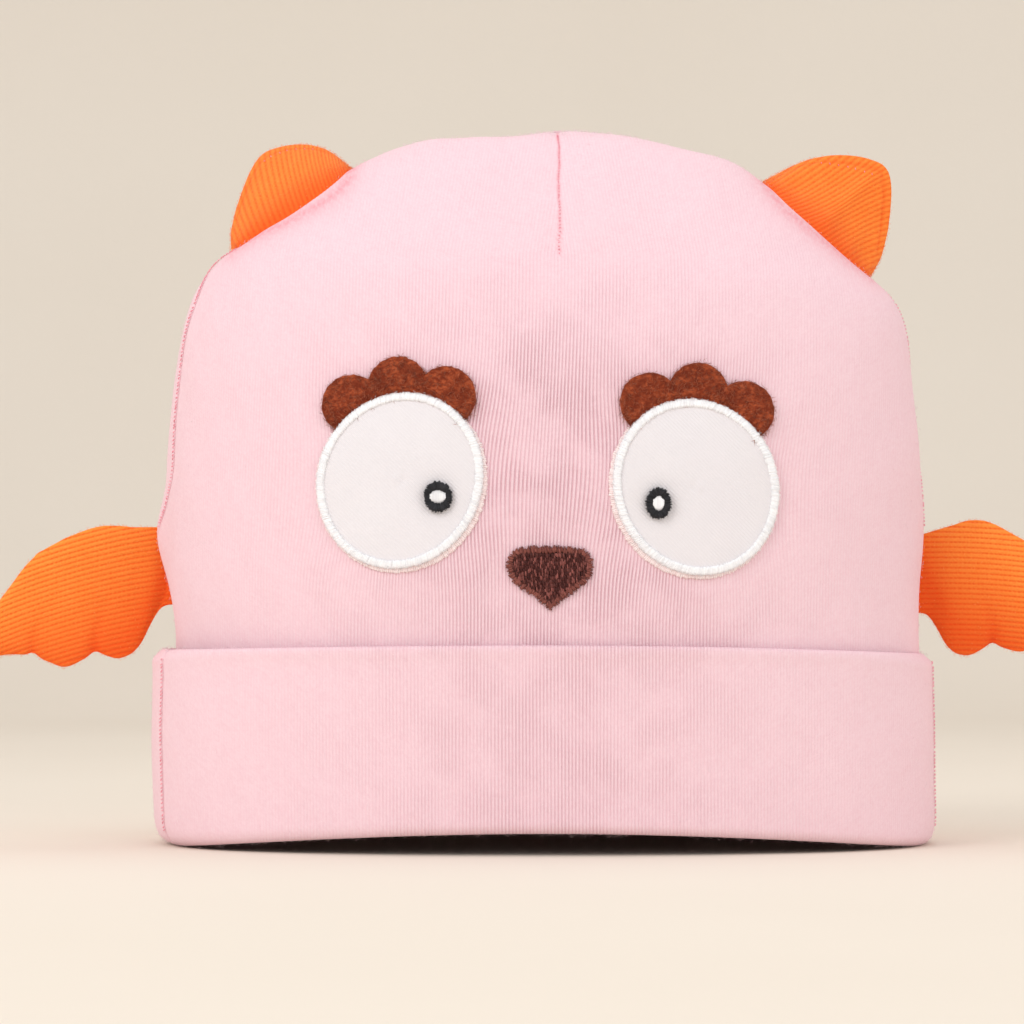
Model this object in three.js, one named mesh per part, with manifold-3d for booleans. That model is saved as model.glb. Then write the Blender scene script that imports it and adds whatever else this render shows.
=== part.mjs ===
// A baby's hat of fine cotton jersey, with a turned-up cuff, padded ears, padded wings and a sewn-on face.
// Millimetres, +Z up. The face looks along -Y, and left is -X, as seen by someone who looks at the face.
// The origin is in the middle of the rim, on the surface that the hat rests on.

import * as THREE from "three";
import { mergeVertices } from "three/addons/utils/BufferGeometryUtils.js";
import Module from "manifold-3d";

const wasm = await Module();
wasm.setup();

// Driving dimensions of the knitted body

const CROWN_HEIGHT = 150;
const CROWN_HALF_WIDTH = 80;
const CROWN_HALF_DEPTH = 50;
const CROWN_SQUARENESS = 2.3; // exponent of the plan section, 2 is an ellipse
const WALL = 1.6; // two layers of fine jersey
const GAP = 0.3; // clearance between neighbouring pieces

const CUFF_HEIGHT = 40;
const CUFF_FOLD_AIR = 1.2; // air inside the fold along the rim
const CUFF_AIR = { left: 3.6, right: 1.2, front: 0.7, back: 0.8 }; // air behind the cuff's upper edge
const CUFF_CREST = 1.5; // extra height of the cuff's upper edge in the middle
const RIM_ARCH = { front: 4.4, back: 2.0 }; // how far the rim rises in the middle of each panel
const RIM_FLAT = 0.98; // share of the half width past which the rim lies flat

const DART_LENGTH = 29;
const DART_HALF_WIDTH = 1.5;
const DART_DEPTH = 0.7;
const DART_FADE = 0.7; // share of the dart's length after which it gets shallower
const DART_OFFSET = 2.9; // the dart and the crown's top lie this far to the right

// Driving dimensions of the padded pieces

const EAR_HEIGHT = 20;
const EAR_THICKNESS = 9;
const EAR_SINK = 7; // how deep the raw ear reaches into the crown before it is trimmed to its seat
const WING_LENGTH = 45.5;
const WING_HEIGHT = 29.5;
const WING_THICKNESS = 8.5;
const WING_SINK = 6;
const WING_SEAM_MIDDLE = 0.3; // share of the height below the highest line where the seam meets the crown
const WING_TAPER = 4; // the padding thins out this sharply towards the tip

// Driving dimensions of the face

const EYE_HALF_HEIGHT = 18.0;
const EYE_HALF_WIDTH = 16.5;
const EYE_TILT = 25; // degrees that the eye's long axis leans inwards at its top
const EYE_BORDER = 2.0;
const EYE_BORDER_EDGE = 0.5;
const EYE_BORDER_CREST = 1.1;
const EYE_PATCH_EDGE = 0.7;
const EYE_PATCH_PUFF = 1.3; // extra height of the padding in the middle of an eye

const PUPIL_HALF_WIDTH = 2.7;
const PUPIL_HALF_HEIGHT = 3.0;
const PUPIL_BAND = 1.35;
const PUPIL_INWARDS = 7.8;
const PUPIL_DOWN = 3.35;
const PUPIL_THICKNESS = 0.7;

const BROW_SCALLOP = 5.9; // radius of each scallop
const BROW_THICKNESS = 1.2;
const BROW_REACH = 1.055; // scallop centres, as a share of the eye's own radius in that direction

const BEAK_HALF_WIDTH = 8.5;
const BEAK_HEIGHT = 12.6;
const BEAK_UP = 49;
const BEAK_ASIDE = 0.8;
const BEAK_BORDER = 1.3;
const BEAK_THICKNESS = 0.9;
const BEAK_MIDDLE = 0.6; // share of the height at which the beak's outline has its centre
const BEAK_FLAT = 0.6; // share of the fill that is flat
const BEAK_FILL_EDGE = 0.63;
const BEAK_BORDER_EDGE = 0.54;

// Mesh density

const PANEL_COLUMNS = 24;
const FOLD_STEPS = 5; // odd, so that the fold has a flat facet to rest on
const CUFF_STEPS = 4;
const DART_COLUMN_ANGLE = 1.3;
const EAR_ALONG = 16;
const EAR_UP = 5;
const WING_ALONG = 22;
const WING_UP = 6;
const EYE_SEGMENTS = 32;
const EYE_RINGS = [0, 0.45, 0.85, 1]; // shares of an eye patch
const PUPIL_SEGMENTS = 14;
const SCALLOP_STEPS = 7;
const BROW_RINGS = [0, 0.5, 1]; // shares of a brow from the eye outwards
const BEAK_HALF_SEGMENTS = 13;
const BISECTION_STEPS = 40;

// Sections of the crown from the rim to the top. up is a share of CROWN_HEIGHT, left and right are
// shares of CROWN_HALF_WIDTH from the middle line, deep is a share of CROWN_HALF_DEPTH, and rings is
// how many mesh rings lie between this section and the next.

const CROWN_SECTIONS = [
  { up: 0.0, left: 0.986, right: 0.99, deep: 0.986, rings: 1 },
  { up: 0.133, left: 0.982, right: 0.99, deep: 0.99, rings: 1 },
  { up: 0.273, left: 0.968, right: 0.985, deep: 0.992, rings: 2 },
  { up: 0.4, left: 0.996, right: 0.983, deep: 1.0, rings: 2 },
  { up: 0.533, left: 1.008, right: 0.976, deep: 0.988, rings: 2 },
  { up: 0.653, left: 1.002, right: 0.947, deep: 0.94, rings: 2 },
  { up: 0.747, left: 0.973, right: 0.901, deep: 0.858, rings: 2 },
  { up: 0.813, left: 0.902, right: 0.792, deep: 0.76, rings: 2 },
  { up: 0.873, left: 0.756, right: 0.676, deep: 0.64, rings: 2 },
  { up: 0.923, left: 0.62, right: 0.56, deep: 0.52, rings: 2 },
  { up: 0.96, left: 0.498, right: 0.443, deep: 0.4, rings: 2 },
  { up: 0.987, left: 0.338, right: 0.258, deep: 0.25, rings: 3 },
  { up: 1.0, left: 0, right: 0, deep: 0, rings: 0 },
];

// Pulls and puckers of the cloth on the seam line. aside is a share of CROWN_HALF_WIDTH, up and reach
// are shares of CROWN_HEIGHT, and out is a share of WALL, outwards where it is positive.

const CLOTH_FOLDS = [
  { aside: -1.0, up: 0.418, reach: 0.062, out: 2.0 },
  { aside: 1.0, up: 0.42, reach: 0.06, out: 0.5 },
  { aside: -0.126, up: 0.99, reach: 0.045, out: -0.5 },
  { aside: 0.352, up: 0.975, reach: 0.04, out: -0.7 },
  { aside: -0.8, up: 0.84, reach: 0.04, out: -0.6 },
  { aside: 0.85, up: 0.8, reach: 0.04, out: -0.6 },
];

// Outline of an ear over its base: along is a share of the base, high a share of the ear's height.

const EAR_OUTLINE = [
  { along: 0.0, high: 0.0 },
  { along: 0.05, high: 0.25 },
  { along: 0.12, high: 0.5 },
  { along: 0.22, high: 0.71 },
  { along: 0.34, high: 0.87 },
  { along: 0.46, high: 0.97 },
  { along: 0.55, high: 1.0 },
  { along: 0.64, high: 0.93 },
  { along: 0.75, high: 0.75 },
  { along: 0.87, high: 0.5 },
  { along: 0.96, high: 0.25 },
  { along: 1.0, high: 0.0 },
];

// Each ear is sewn into the seam between two heights, inner and outer, which are shares of
// CROWN_HEIGHT. height is a share of EAR_HEIGHT, lean is how many degrees the ear tips back, and skew
// is how far its top is pushed outwards, as a share of its height.

const EARS = [
  { name: "ear_left", side: -1, inner: 0.948, outer: 0.832, height: 0.88, lean: 27, skew: -0.2 },
  { name: "ear_right", side: 1, inner: 0.93, outer: 0.795, height: 1.0, lean: 5, skew: 0.03 },
];

// Sections of a wing from the side seam to its tip. out is a share of WING_LENGTH, and top and low are
// the depths of the two edges below the wing's highest line, as shares of WING_HEIGHT.

const WING_SECTIONS = [
  { out: 0.0, top: 0.0, low: 0.555 },
  { out: 0.05, top: 0.0, low: 0.585 },
  { out: 0.1, top: 0.0, low: 0.66 },
  { out: 0.145, top: 0.0, low: 0.84 },
  { out: 0.22, top: -0.01, low: 0.94 },
  { out: 0.33, top: 0.0, low: 0.885 },
  { out: 0.46, top: 0.06, low: 1.0 },
  { out: 0.56, top: 0.14, low: 0.96 },
  { out: 0.63, top: 0.22, low: 0.895 },
  { out: 0.765, top: 0.475, low: 0.93 },
  { out: 0.9, top: 0.74, low: 0.96 },
  { out: 1.0, top: 0.86, low: 0.88 },
];

// Creases of the wing's padding. They start at the notches of the lower edge and rise towards the seam.

const WING_NOTCHES = [0.33, 0.63]; // shares of WING_LENGTH
const CREASE = {
  depth: 0.42, // share of the padding that a crease takes away
  width: 0.05, // share of WING_LENGTH
  slant: 0.12, // how far a crease leans towards the seam, as a share of WING_LENGTH
  rise: 0.75, // share of the wing's height at which a crease has gone
};

// up is the height of a wing's highest line at the seam, as a share of CROWN_HEIGHT, and lift is how
// far the wing rises for each millimetre outwards.

const WINGS = [
  { name: "wing_left", side: -1, up: 0.443, lift: 0 },
  { name: "wing_right", side: 1, up: 0.431, lift: 0.23 },
];

// Centres of the eyes: aside is a share of CROWN_HALF_WIDTH and up a share of CROWN_HEIGHT.

const EYES = [
  { name: "left", side: -1, aside: 0.365, up: 0.4993 },
  { name: "right", side: 1, aside: 0.3763, up: 0.4907 },
];
const BROW_ANGLES = [122, 91, 61]; // degrees from the inward direction, outer scallop first

// One half of the beak's outline, from the middle of its top edge down to its tip. across is a share of
// BEAK_HALF_WIDTH and up a share of BEAK_HEIGHT.

const BEAK_OUTLINE = [
  { across: 0.0, up: 1.0 },
  { across: 0.45, up: 0.99 },
  { across: 0.82, up: 0.95 },
  { across: 1.0, up: 0.76 },
  { across: 0.93, up: 0.53 },
  { across: 0.66, up: 0.34 },
  { across: 0.32, up: 0.185 },
  { across: 0.0, up: 0.0 },
];

const FABRICS = {
  jersey: { color: 0xf6d0d6, roughness: 0.9 },
  ribKnit: { color: 0xf7842f, roughness: 0.9 },
  felt: { color: 0x7d3a26, roughness: 0.95 },
  eyeKnit: { color: 0xf3ecea, roughness: 0.85 },
  whiteThread: { color: 0xf8f6f6, roughness: 0.5 },
  blackThread: { color: 0x26262a, roughness: 0.5 },
  darkThread: { color: 0x4a2420, roughness: 0.55 },
  brownThread: { color: 0x5c3028, roughness: 0.55 },
};

// Curves

function catmullRom(a, b, c, d, t) {
  const bend = 2 * a - 5 * b + 4 * c - d + (3 * b - a - 3 * c + d) * t;
  return b + 0.5 * t * (c - a + t * bend);
}

// A column of the crown's sections at a fractional row. The crown's other side follows the top row,
// so past it the heights are mirrored, and the widths too, with the opposite sign.
function alongCrown(column, place) {
  const last = CROWN_SECTIONS.length - 1;
  const row = Math.min(Math.floor(place), last - 1);
  const sign = column === "up" ? 1 : -1;
  const value = (k) => {
    if (k < 0) return 2 * CROWN_SECTIONS[0][column] - CROWN_SECTIONS[1][column];
    if (k > last) return sign * CROWN_SECTIONS[2 * last - k][column];
    return CROWN_SECTIONS[k][column];
  };
  return catmullRom(value(row - 1), value(row), value(row + 1), value(row + 2), place - row);
}

// The value of one column where another, rising column has the value that is asked for.
function readTable(rows, input, wanted, output) {
  let row = 0;
  while (row < rows.length - 2 && rows[row + 1][input] < wanted) row += 1;
  const low = rows[row];
  const high = rows[row + 1];
  const t = THREE.MathUtils.clamp((wanted - low[input]) / (high[input] - low[input]), 0, 1);
  const before = rows[row - 1] ?? low;
  const after = rows[row + 2] ?? high;
  return catmullRom(before[output], low[output], high[output], after[output], t);
}

function signedPower(value, power) {
  return Math.sign(value) * Math.abs(value) ** power;
}

// Cosine and sine of the rounded-oblong plan section.
function planDirection(angle) {
  const power = 2 / CROWN_SQUARENESS;
  return { across: signedPower(Math.cos(angle), power), back: signedPower(Math.sin(angle), power) };
}

// Crown surface

const TOP_PLACE = CROWN_SECTIONS.length - 1;

function sectionAt(place) {
  return {
    z: CROWN_HEIGHT * alongCrown("up", place),
    left: CROWN_HALF_WIDTH * alongCrown("left", place),
    right: CROWN_HALF_WIDTH * alongCrown("right", place),
    deep: CROWN_HALF_DEPTH * alongCrown("deep", place),
  };
}

function placeAtHeight(z) {
  let low = 0;
  let high = TOP_PLACE;
  for (let step = 0; step < BISECTION_STEPS; step += 1) {
    const middle = (low + high) / 2;
    if (sectionAt(middle).z < z) low = middle;
    else high = middle;
  }
  return (low + high) / 2;
}

// The middle line moves to the right towards the top, where the dart is.
function middleAt(z) {
  const share = THREE.MathUtils.smoothstep(z, CUFF_HEIGHT, CROWN_HEIGHT - DART_LENGTH);
  return DART_OFFSET * share;
}

function clothFold(point) {
  let out = 0;
  for (const fold of CLOTH_FOLDS) {
    const away = Math.hypot(
      point.x - fold.aside * CROWN_HALF_WIDTH,
      point.y,
      point.z - fold.up * CROWN_HEIGHT,
    );
    const spread = fold.reach * CROWN_HEIGHT;
    out += fold.out * WALL * Math.exp(-((away / spread) ** 2));
  }
  return out;
}

function dartGroove(point) {
  if (point.y > 0) return 0;
  const below = CROWN_HEIGHT - point.z;
  const share = 1 - THREE.MathUtils.smoothstep(below, DART_FADE * DART_LENGTH, DART_LENGTH);
  const aside = (point.x - DART_OFFSET) / DART_HALF_WIDTH;
  return DART_DEPTH * share * Math.exp(-aside * aside);
}

// A point of the smooth crown, with both half axes made larger by the outward distance given.
function plainCrown(place, plan, outwards = 0) {
  const { z, left, right, deep } = sectionAt(place);
  const halfWidth = plan.across < 0 ? left : right;
  return new THREE.Vector3(
    middleAt(z) + plan.across * (halfWidth + outwards),
    plan.back * (deep + outwards),
    z,
  );
}

// Outward normal of the smooth crown, from its neighbours round it and up it.
function crownNormal(place, angle) {
  if (place > TOP_PLACE - 1e-6) return new THREE.Vector3(0, 0, 1);
  const stepUp = 0.02;
  const stepRound = 0.01;
  const above = plainCrown(Math.min(place + stepUp, TOP_PLACE), planDirection(angle));
  const below = plainCrown(Math.max(place - stepUp, 0), planDirection(angle));
  const before = plainCrown(place, planDirection(angle - stepRound));
  const after = plainCrown(place, planDirection(angle + stepRound));
  return after.sub(before).cross(above.sub(below)).normalize();
}

// A point of the crown's outer face with its folds and its dart.
function crownPoint(place, angle) {
  const point = plainCrown(place, planDirection(angle));
  const out = clothFold(point) - dartGroove(point);
  return point.addScaledVector(crownNormal(place, angle), out);
}

// The front of the crown at a given place across and up, and its outward normal there.
function frontAt(x, z) {
  const place = placeAtHeight(z);
  const { left, right } = sectionAt(place);
  const aside = x - middleAt(z);
  const across = aside / (aside < 0 ? left : right);
  const angle = -Math.acos(signedPower(across, CROWN_SQUARENESS / 2));
  return { point: crownPoint(place, angle), normal: crownNormal(place, angle) };
}

function onFront(x, z, lift) {
  const { point, normal } = frontAt(x, z);
  return point.addScaledVector(normal, lift);
}

// Closed meshes

function geometryOf(triangles) {
  const corners = triangles.flat();
  const positions = new Float32Array(corners.flatMap((corner) => [corner.x, corner.y, corner.z]));
  const geometry = new THREE.BufferGeometry();
  geometry.setAttribute("position", new THREE.BufferAttribute(positions, 3));
  const merged = mergeVertices(geometry, 1e-4);
  merged.computeVertexNormals();
  return merged;
}

function enclosedVolume(triangles) {
  return triangles.reduce((sum, [a, b, c]) => sum + a.dot(b.clone().cross(c)) / 6, 0);
}

function isFlatTriangle([a, b, c]) {
  const same = 1e-4;
  return a.distanceTo(b) < same || b.distanceTo(c) < same || c.distanceTo(a) < same;
}

// The solid between two grids of points, rows by columns. With loop the last column meets the first.
function solidBetween(outer, inner, loop = false) {
  const triangles = [];
  const addQuad = (a, b, c, d) => triangles.push([a, b, c], [a, c, d]);
  const rows = outer.length - 1;
  const columns = outer[0].length;
  const spans = loop ? columns : columns - 1;
  for (let column = 0; column < spans; column += 1) {
    const next = (column + 1) % columns;
    for (let row = 0; row < rows; row += 1) {
      addQuad(outer[row][column], outer[row + 1][column], outer[row + 1][next], outer[row][next]);
      addQuad(inner[row][column], inner[row][next], inner[row + 1][next], inner[row + 1][column]);
    }
    addQuad(outer[0][column], outer[0][next], inner[0][next], inner[0][column]);
    addQuad(inner[rows][column], inner[rows][next], outer[rows][next], outer[rows][column]);
  }
  if (!loop) {
    const last = columns - 1;
    for (let row = 0; row < rows; row += 1) {
      addQuad(outer[row][0], inner[row][0], inner[row + 1][0], outer[row + 1][0]);
      addQuad(outer[row][last], outer[row + 1][last], inner[row + 1][last], inner[row][last]);
    }
  }
  const solid = triangles.filter((triangle) => !isFlatTriangle(triangle));
  if (enclosedVolume(solid) < 0) solid.forEach((triangle) => triangle.reverse());
  return geometryOf(solid);
}

function pieceOf(name, fabric, geometry) {
  const material = new THREE.MeshStandardMaterial({ ...FABRICS[fabric], metalness: 0 });
  const mesh = new THREE.Mesh(geometry, material);
  mesh.name = name;
  return mesh;
}

// Panels: the crown's wall runs down to the rim, turns over in a fold and comes up again as the cuff

const FOLD_RADIUS = CUFF_FOLD_AIR / 2;
const FOLD_DROP = (FOLD_RADIUS + WALL) * Math.cos(Math.PI / (2 * FOLD_STEPS));

function crownPlaces() {
  const places = [];
  CROWN_SECTIONS.forEach((section, row) => {
    for (let ring = 0; ring < section.rings; ring += 1) places.push(row + ring / section.rings);
  });
  places.push(TOP_PLACE);
  return places.reverse();
}

// 1 in the middle of the front or back, 0 on the sides.
function middleShare(plan) {
  return Math.max(0, 1 - (plan.across / RIM_FLAT) ** 2);
}

function rimHeight(plan) {
  return middleShare(plan) * (plan.back < 0 ? RIM_ARCH.front : RIM_ARCH.back);
}

function cuffTop(plan) {
  return CUFF_HEIGHT + CUFF_CREST * middleShare(plan);
}

function cuffAir(plan) {
  const side = plan.across < 0 ? CUFF_AIR.left : CUFF_AIR.right;
  const middle = plan.back < 0 ? CUFF_AIR.front : CUFF_AIR.back;
  return THREE.MathUtils.lerp(middle, side, plan.across ** 2);
}

// One column of the cloth's outer face, from the crown's top to the cuff's upper edge.
function clothColumn(angle) {
  const plan = planDirection(angle);
  const foldTop = rimHeight(plan) + FOLD_DROP;
  const column = crownPlaces().map((place) => {
    const point = crownPoint(place, angle);
    const lift = foldTop * Math.max(0, 1 - point.z / CUFF_HEIGHT);
    return point.setZ(point.z + lift);
  });
  for (let step = 1; step <= FOLD_STEPS; step += 1) {
    const turn = (Math.PI * step) / FOLD_STEPS;
    const point = plainCrown(0, plan, FOLD_RADIUS * (1 - Math.cos(turn)));
    column.push(point.setZ(foldTop - FOLD_RADIUS * Math.sin(turn)));
  }
  for (let step = 1; step <= CUFF_STEPS; step += 1) {
    const share = step / CUFF_STEPS;
    const z = THREE.MathUtils.lerp(foldTop, cuffTop(plan), share);
    const air = THREE.MathUtils.lerp(CUFF_FOLD_AIR, cuffAir(plan), share);
    column.push(plainCrown(placeAtHeight(z), plan, air).setZ(z));
  }
  return column;
}

// Moves a face of cloth by the wall's thickness along the normals of its own grid. The first row is the
// crown's top, where it moves straight down.
function innerFace(columns) {
  return columns.map((column, k) => {
    const before = columns[Math.max(k - 1, 0)];
    const after = columns[Math.min(k + 1, columns.length - 1)];
    return column.map((point, row) => {
      if (row === 0) {
        return point.clone().setZ(point.z - WALL);
      }
      const above = column[row - 1];
      const below = column[Math.min(row + 1, column.length - 1)];
      const round = after[row].clone().sub(before[row]);
      const normal = round.cross(above.clone().sub(below)).normalize();
      return point.clone().addScaledVector(normal, -WALL);
    });
  });
}

// The angles of one panel's columns, from one side seam to the other.
function panelAngles(start) {
  const step = Math.PI / PANEL_COLUMNS;
  return Array.from({ length: PANEL_COLUMNS + 1 }, (_, k) => start + k * step);
}

const BACK_ANGLES = panelAngles(0);

// The front has two more columns, close beside the dart.
const DART_ANGLE = 1.5 * Math.PI;
const DART_STEP = THREE.MathUtils.degToRad(DART_COLUMN_ANGLE);
const FRONT_ANGLES = [
  ...panelAngles(Math.PI),
  DART_ANGLE - DART_STEP,
  DART_ANGLE + DART_STEP,
].sort((a, b) => a - b);

function transposed(columns) {
  return columns[0].map((_, row) => columns.map((column) => column[row]));
}

function panel(angles, seamSide) {
  const outer = angles.map(clothColumn);
  const inner = innerFace(outer);
  const firstFoldRow = crownPlaces().length - 1;
  const flatRows = [(FOLD_STEPS - 1) / 2, (FOLD_STEPS + 1) / 2].map((step) => firstFoldRow + step);
  inner.forEach((column, k) => {
    const rim = rimHeight(planDirection(angles[k]));
    flatRows.forEach((row) => column[row].setZ(rim));
  });
  [outer, inner].forEach((face) => {
    [face[0], face.at(-1)].forEach((column) => {
      column.forEach((point) => point.setY((seamSide * GAP) / 2));
    });
    face.forEach((column) => column[0].setY((seamSide * GAP) / 2));
  });
  return solidBetween(transposed(outer), transposed(inner));
}

// Padded pieces are trimmed to their seat on the crown

function solidOf(geometry) {
  const mesh = new wasm.Mesh({
    numProp: 3,
    vertProperties: geometry.attributes.position.array,
    triVerts: new Uint32Array(geometry.index.array),
  });
  return new wasm.Manifold(mesh);
}

function geometryFrom(solid) {
  const mesh = solid.getMesh();
  const geometry = new THREE.BufferGeometry();
  geometry.setAttribute("position", new THREE.BufferAttribute(mesh.vertProperties, 3));
  geometry.setIndex(new THREE.BufferAttribute(mesh.triVerts, 1));
  geometry.computeVertexNormals();
  return geometry;
}

// The whole crown without its hollow, larger all round by the clearance.
function crownBlock() {
  const angles = [...BACK_ANGLES.slice(0, -1), ...FRONT_ANGLES.slice(0, -1)];
  const outer = crownPlaces().map((place) =>
    angles.map((angle) => crownPoint(place, angle).addScaledVector(crownNormal(place, angle), GAP)),
  );
  const floor = new THREE.Vector3(0, 0, outer.at(-1)[0].z);
  const inner = outer.map((ring) => ring.map(() => floor));
  return solidOf(solidBetween(outer, inner, true));
}

const CROWN_BLOCK = crownBlock();

function trimmedToCrown(geometry) {
  return geometryFrom(solidOf(geometry).subtract(CROWN_BLOCK));
}

// How full the padding is at a share of the way between two edges that close on a seam.
function fullness(share) {
  return Math.sqrt(Math.max(0, 4 * share * (1 - share)));
}

function ear({ side, inner, outer, height, lean, skew }) {
  const seamPoint = (share) => {
    const place = placeAtHeight(share * CROWN_HEIGHT);
    return plainCrown(place, { across: side, back: 0 });
  };
  const start = seamPoint(inner);
  const base = seamPoint(outer).sub(start);
  const length = base.length();
  const along = base.clone().normalize();
  const upright = new THREE.Vector3(-side * along.z, 0, side * along.x);
  const angle = THREE.MathUtils.degToRad(lean);
  const out = upright.clone().multiplyScalar(Math.cos(angle)).setY(Math.sin(angle));
  const through = new THREE.Vector3().crossVectors(along, out).normalize();
  const face = (sign) =>
    Array.from({ length: EAR_ALONG + 1 }, (_, k) => {
      const share = k / EAR_ALONG;
      const high = EAR_HEIGHT * height * readTable(EAR_OUTLINE, "along", share, "high");
      const seam = start.clone().addScaledVector(along, share * length);
      const column = [];
      for (let row = -1; row <= EAR_UP; row += 1) {
        const up = Math.max(0, row / EAR_UP);
        const lift = row < 0 ? 0 : high * up;
        const puff = Math.sqrt(fullness(share)) * Math.sqrt(Math.max(0, 1 - up * up));
        const point = seam.clone().addScaledVector(out, lift).addScaledVector(along, skew * lift);
        if (row < 0) point.addScaledVector(upright, -EAR_SINK);
        column.push(point.addScaledVector(through, (sign * puff * EAR_THICKNESS) / 2));
      }
      return column;
    });
  return trimmedToCrown(solidBetween(face(-1), face(1)));
}

// The share of the padding that the creases take away at a place on the wing.
function creaseAt(out, up) {
  const fade = Math.max(0, 1 - up / CREASE.rise);
  return WING_NOTCHES.reduce((sum, notch) => {
    const away = (out - notch + CREASE.slant * up) / CREASE.width;
    return sum + CREASE.depth * fade * Math.exp(-away * away);
  }, 0);
}

function wing({ side, up, lift }) {
  const highest = up * CROWN_HEIGHT;
  const place = placeAtHeight(highest - WING_SEAM_MIDDLE * WING_HEIGHT);
  const root = plainCrown(place, { across: side, back: 0 }).setZ(highest);
  const outwards = new THREE.Vector3(side, 0, lift);
  const face = (sign) =>
    Array.from({ length: WING_ALONG + 2 }, (_, k) => {
      const share = Math.max(0, k - 1) / WING_ALONG;
      const top = WING_HEIGHT * readTable(WING_SECTIONS, "out", share, "top");
      const low = WING_HEIGHT * readTable(WING_SECTIONS, "out", share, "low");
      const reach = k === 0 ? -WING_SINK : share * WING_LENGTH;
      const column = [];
      for (let row = 0; row <= WING_UP; row += 1) {
        const height = row / WING_UP;
        const depth = THREE.MathUtils.lerp(low, top, height);
        const taper = Math.sqrt(Math.max(0, 1 - share ** WING_TAPER));
        const puff = fullness(height) * taper * (1 - creaseAt(share, height));
        const point = root.clone().addScaledVector(outwards, reach);
        point.z -= depth;
        column.push(point.setY((sign * puff * WING_THICKNESS) / 2));
      }
      return column;
    });
  return trimmedToCrown(solidBetween(face(-1), face(1)));
}

// Pieces sewn on the front

function ellipseOutline(halfWidth, halfHeight, tilt, segments) {
  const curve = new THREE.EllipseCurve(0, 0, halfWidth, halfHeight, 0, 2 * Math.PI, false, tilt);
  return curve.getPoints(segments).slice(0, -1);
}

function eyeTilt(side) {
  return THREE.MathUtils.degToRad(side * EYE_TILT);
}

// Rings of points round a centre on the front, each with its own share of the outline and lift.
function ringsOnFront(centre, outline, rings) {
  return rings.map(({ share, inset = 0, lift }) =>
    outline.map((corner) => {
      const offset = corner.clone().multiplyScalar(share);
      offset.setLength(Math.max(0, offset.length() - inset));
      const x = centre.x + offset.x;
      const z = centre.y + offset.y;
      const height = typeof lift === "function" ? lift(x, z) : lift;
      return onFront(x, z, height);
    }),
  );
}

function eyeCentre(eye) {
  return new THREE.Vector2(eye.side * eye.aside * CROWN_HALF_WIDTH, eye.up * CROWN_HEIGHT);
}

function eyeOutline(side) {
  return ellipseOutline(EYE_HALF_WIDTH, EYE_HALF_HEIGHT, eyeTilt(side), EYE_SEGMENTS);
}

function patchLift(share) {
  return GAP + EYE_PATCH_EDGE + EYE_PATCH_PUFF * (1 - share ** 2);
}

function eyePatch(eye) {
  const inset = EYE_BORDER + GAP;
  const trim = EYE_RINGS.map((share) => ({ share, inset: inset * share }));
  const front = trim.map((ring) => ({ ...ring, lift: patchLift(ring.share) }));
  const back = trim.map((ring) => ({ ...ring, lift: GAP }));
  const outline = eyeOutline(eye.side);
  const centre = eyeCentre(eye);
  return solidBetween(
    ringsOnFront(centre, outline, front),
    ringsOnFront(centre, outline, back),
    true,
  );
}

// A satin-stitched band along the inside of an outline.
function stitchedBand(centre, outline, width, edge, crest, base = GAP) {
  const insets = [width, width / 2, 0];
  const heights = [edge, crest, edge];
  const onBase = (height) => (typeof base === "function" ? (x, z) => base(x, z) + height : base + height);
  const front = insets.map((inset, k) => ({ share: 1, inset, lift: onBase(heights[k]) }));
  const back = insets.map((inset) => ({ share: 1, inset, lift: onBase(0) }));
  return solidBetween(
    ringsOnFront(centre, outline, front),
    ringsOnFront(centre, outline, back),
    true,
  );
}

function eyeBorder(eye) {
  const outline = eyeOutline(eye.side);
  return stitchedBand(eyeCentre(eye), outline, EYE_BORDER, EYE_BORDER_EDGE, EYE_BORDER_CREST);
}

function pupilCentre(eye) {
  const inwards = -eye.side;
  return eyeCentre(eye).add(new THREE.Vector2(inwards * PUPIL_INWARDS, -PUPIL_DOWN));
}

// Height of a pupil's underside over the crown: it lies on the padded patch.
function overPatch(eye) {
  const centre = eyeCentre(eye);
  const tilt = eyeTilt(eye.side);
  return (x, z) => {
    const offset = new THREE.Vector2(x, z).sub(centre).rotateAround(new THREE.Vector2(), -tilt);
    const trim = EYE_BORDER + GAP;
    const share = Math.hypot(offset.x / (EYE_HALF_WIDTH - trim), offset.y / (EYE_HALF_HEIGHT - trim));
    return patchLift(share) + GAP;
  };
}

function pupilOutline() {
  return ellipseOutline(PUPIL_HALF_WIDTH, PUPIL_HALF_HEIGHT, 0, PUPIL_SEGMENTS);
}

function pupil(eye) {
  const edge = PUPIL_THICKNESS / 2;
  const outline = pupilOutline();
  return stitchedBand(pupilCentre(eye), outline, PUPIL_BAND, edge, PUPIL_THICKNESS, overPatch(eye));
}

function pupilMiddle(eye) {
  const inset = PUPIL_BAND + GAP;
  const base = overPatch(eye);
  const edge = PUPIL_THICKNESS / 2;
  const front = [
    { share: 0, lift: (x, z) => base(x, z) + PUPIL_THICKNESS },
    { share: 1, inset, lift: (x, z) => base(x, z) + edge },
  ];
  const back = [
    { share: 0, lift: base },
    { share: 1, inset, lift: base },
  ];
  const centre = pupilCentre(eye);
  return solidBetween(
    ringsOnFront(centre, pupilOutline(), front),
    ringsOnFront(centre, pupilOutline(), back),
    true,
  );
}

// Radius of the eye's outline in a direction, measured from its centre.
function eyeRadius(side, direction) {
  const angle = direction - eyeTilt(side);
  return 1 / Math.hypot(Math.cos(angle) / EYE_HALF_WIDTH, Math.sin(angle) / EYE_HALF_HEIGHT);
}

function onCircle(centre, radius, angle) {
  return new THREE.Vector2(Math.cos(angle), Math.sin(angle)).multiplyScalar(radius).add(centre);
}

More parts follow.
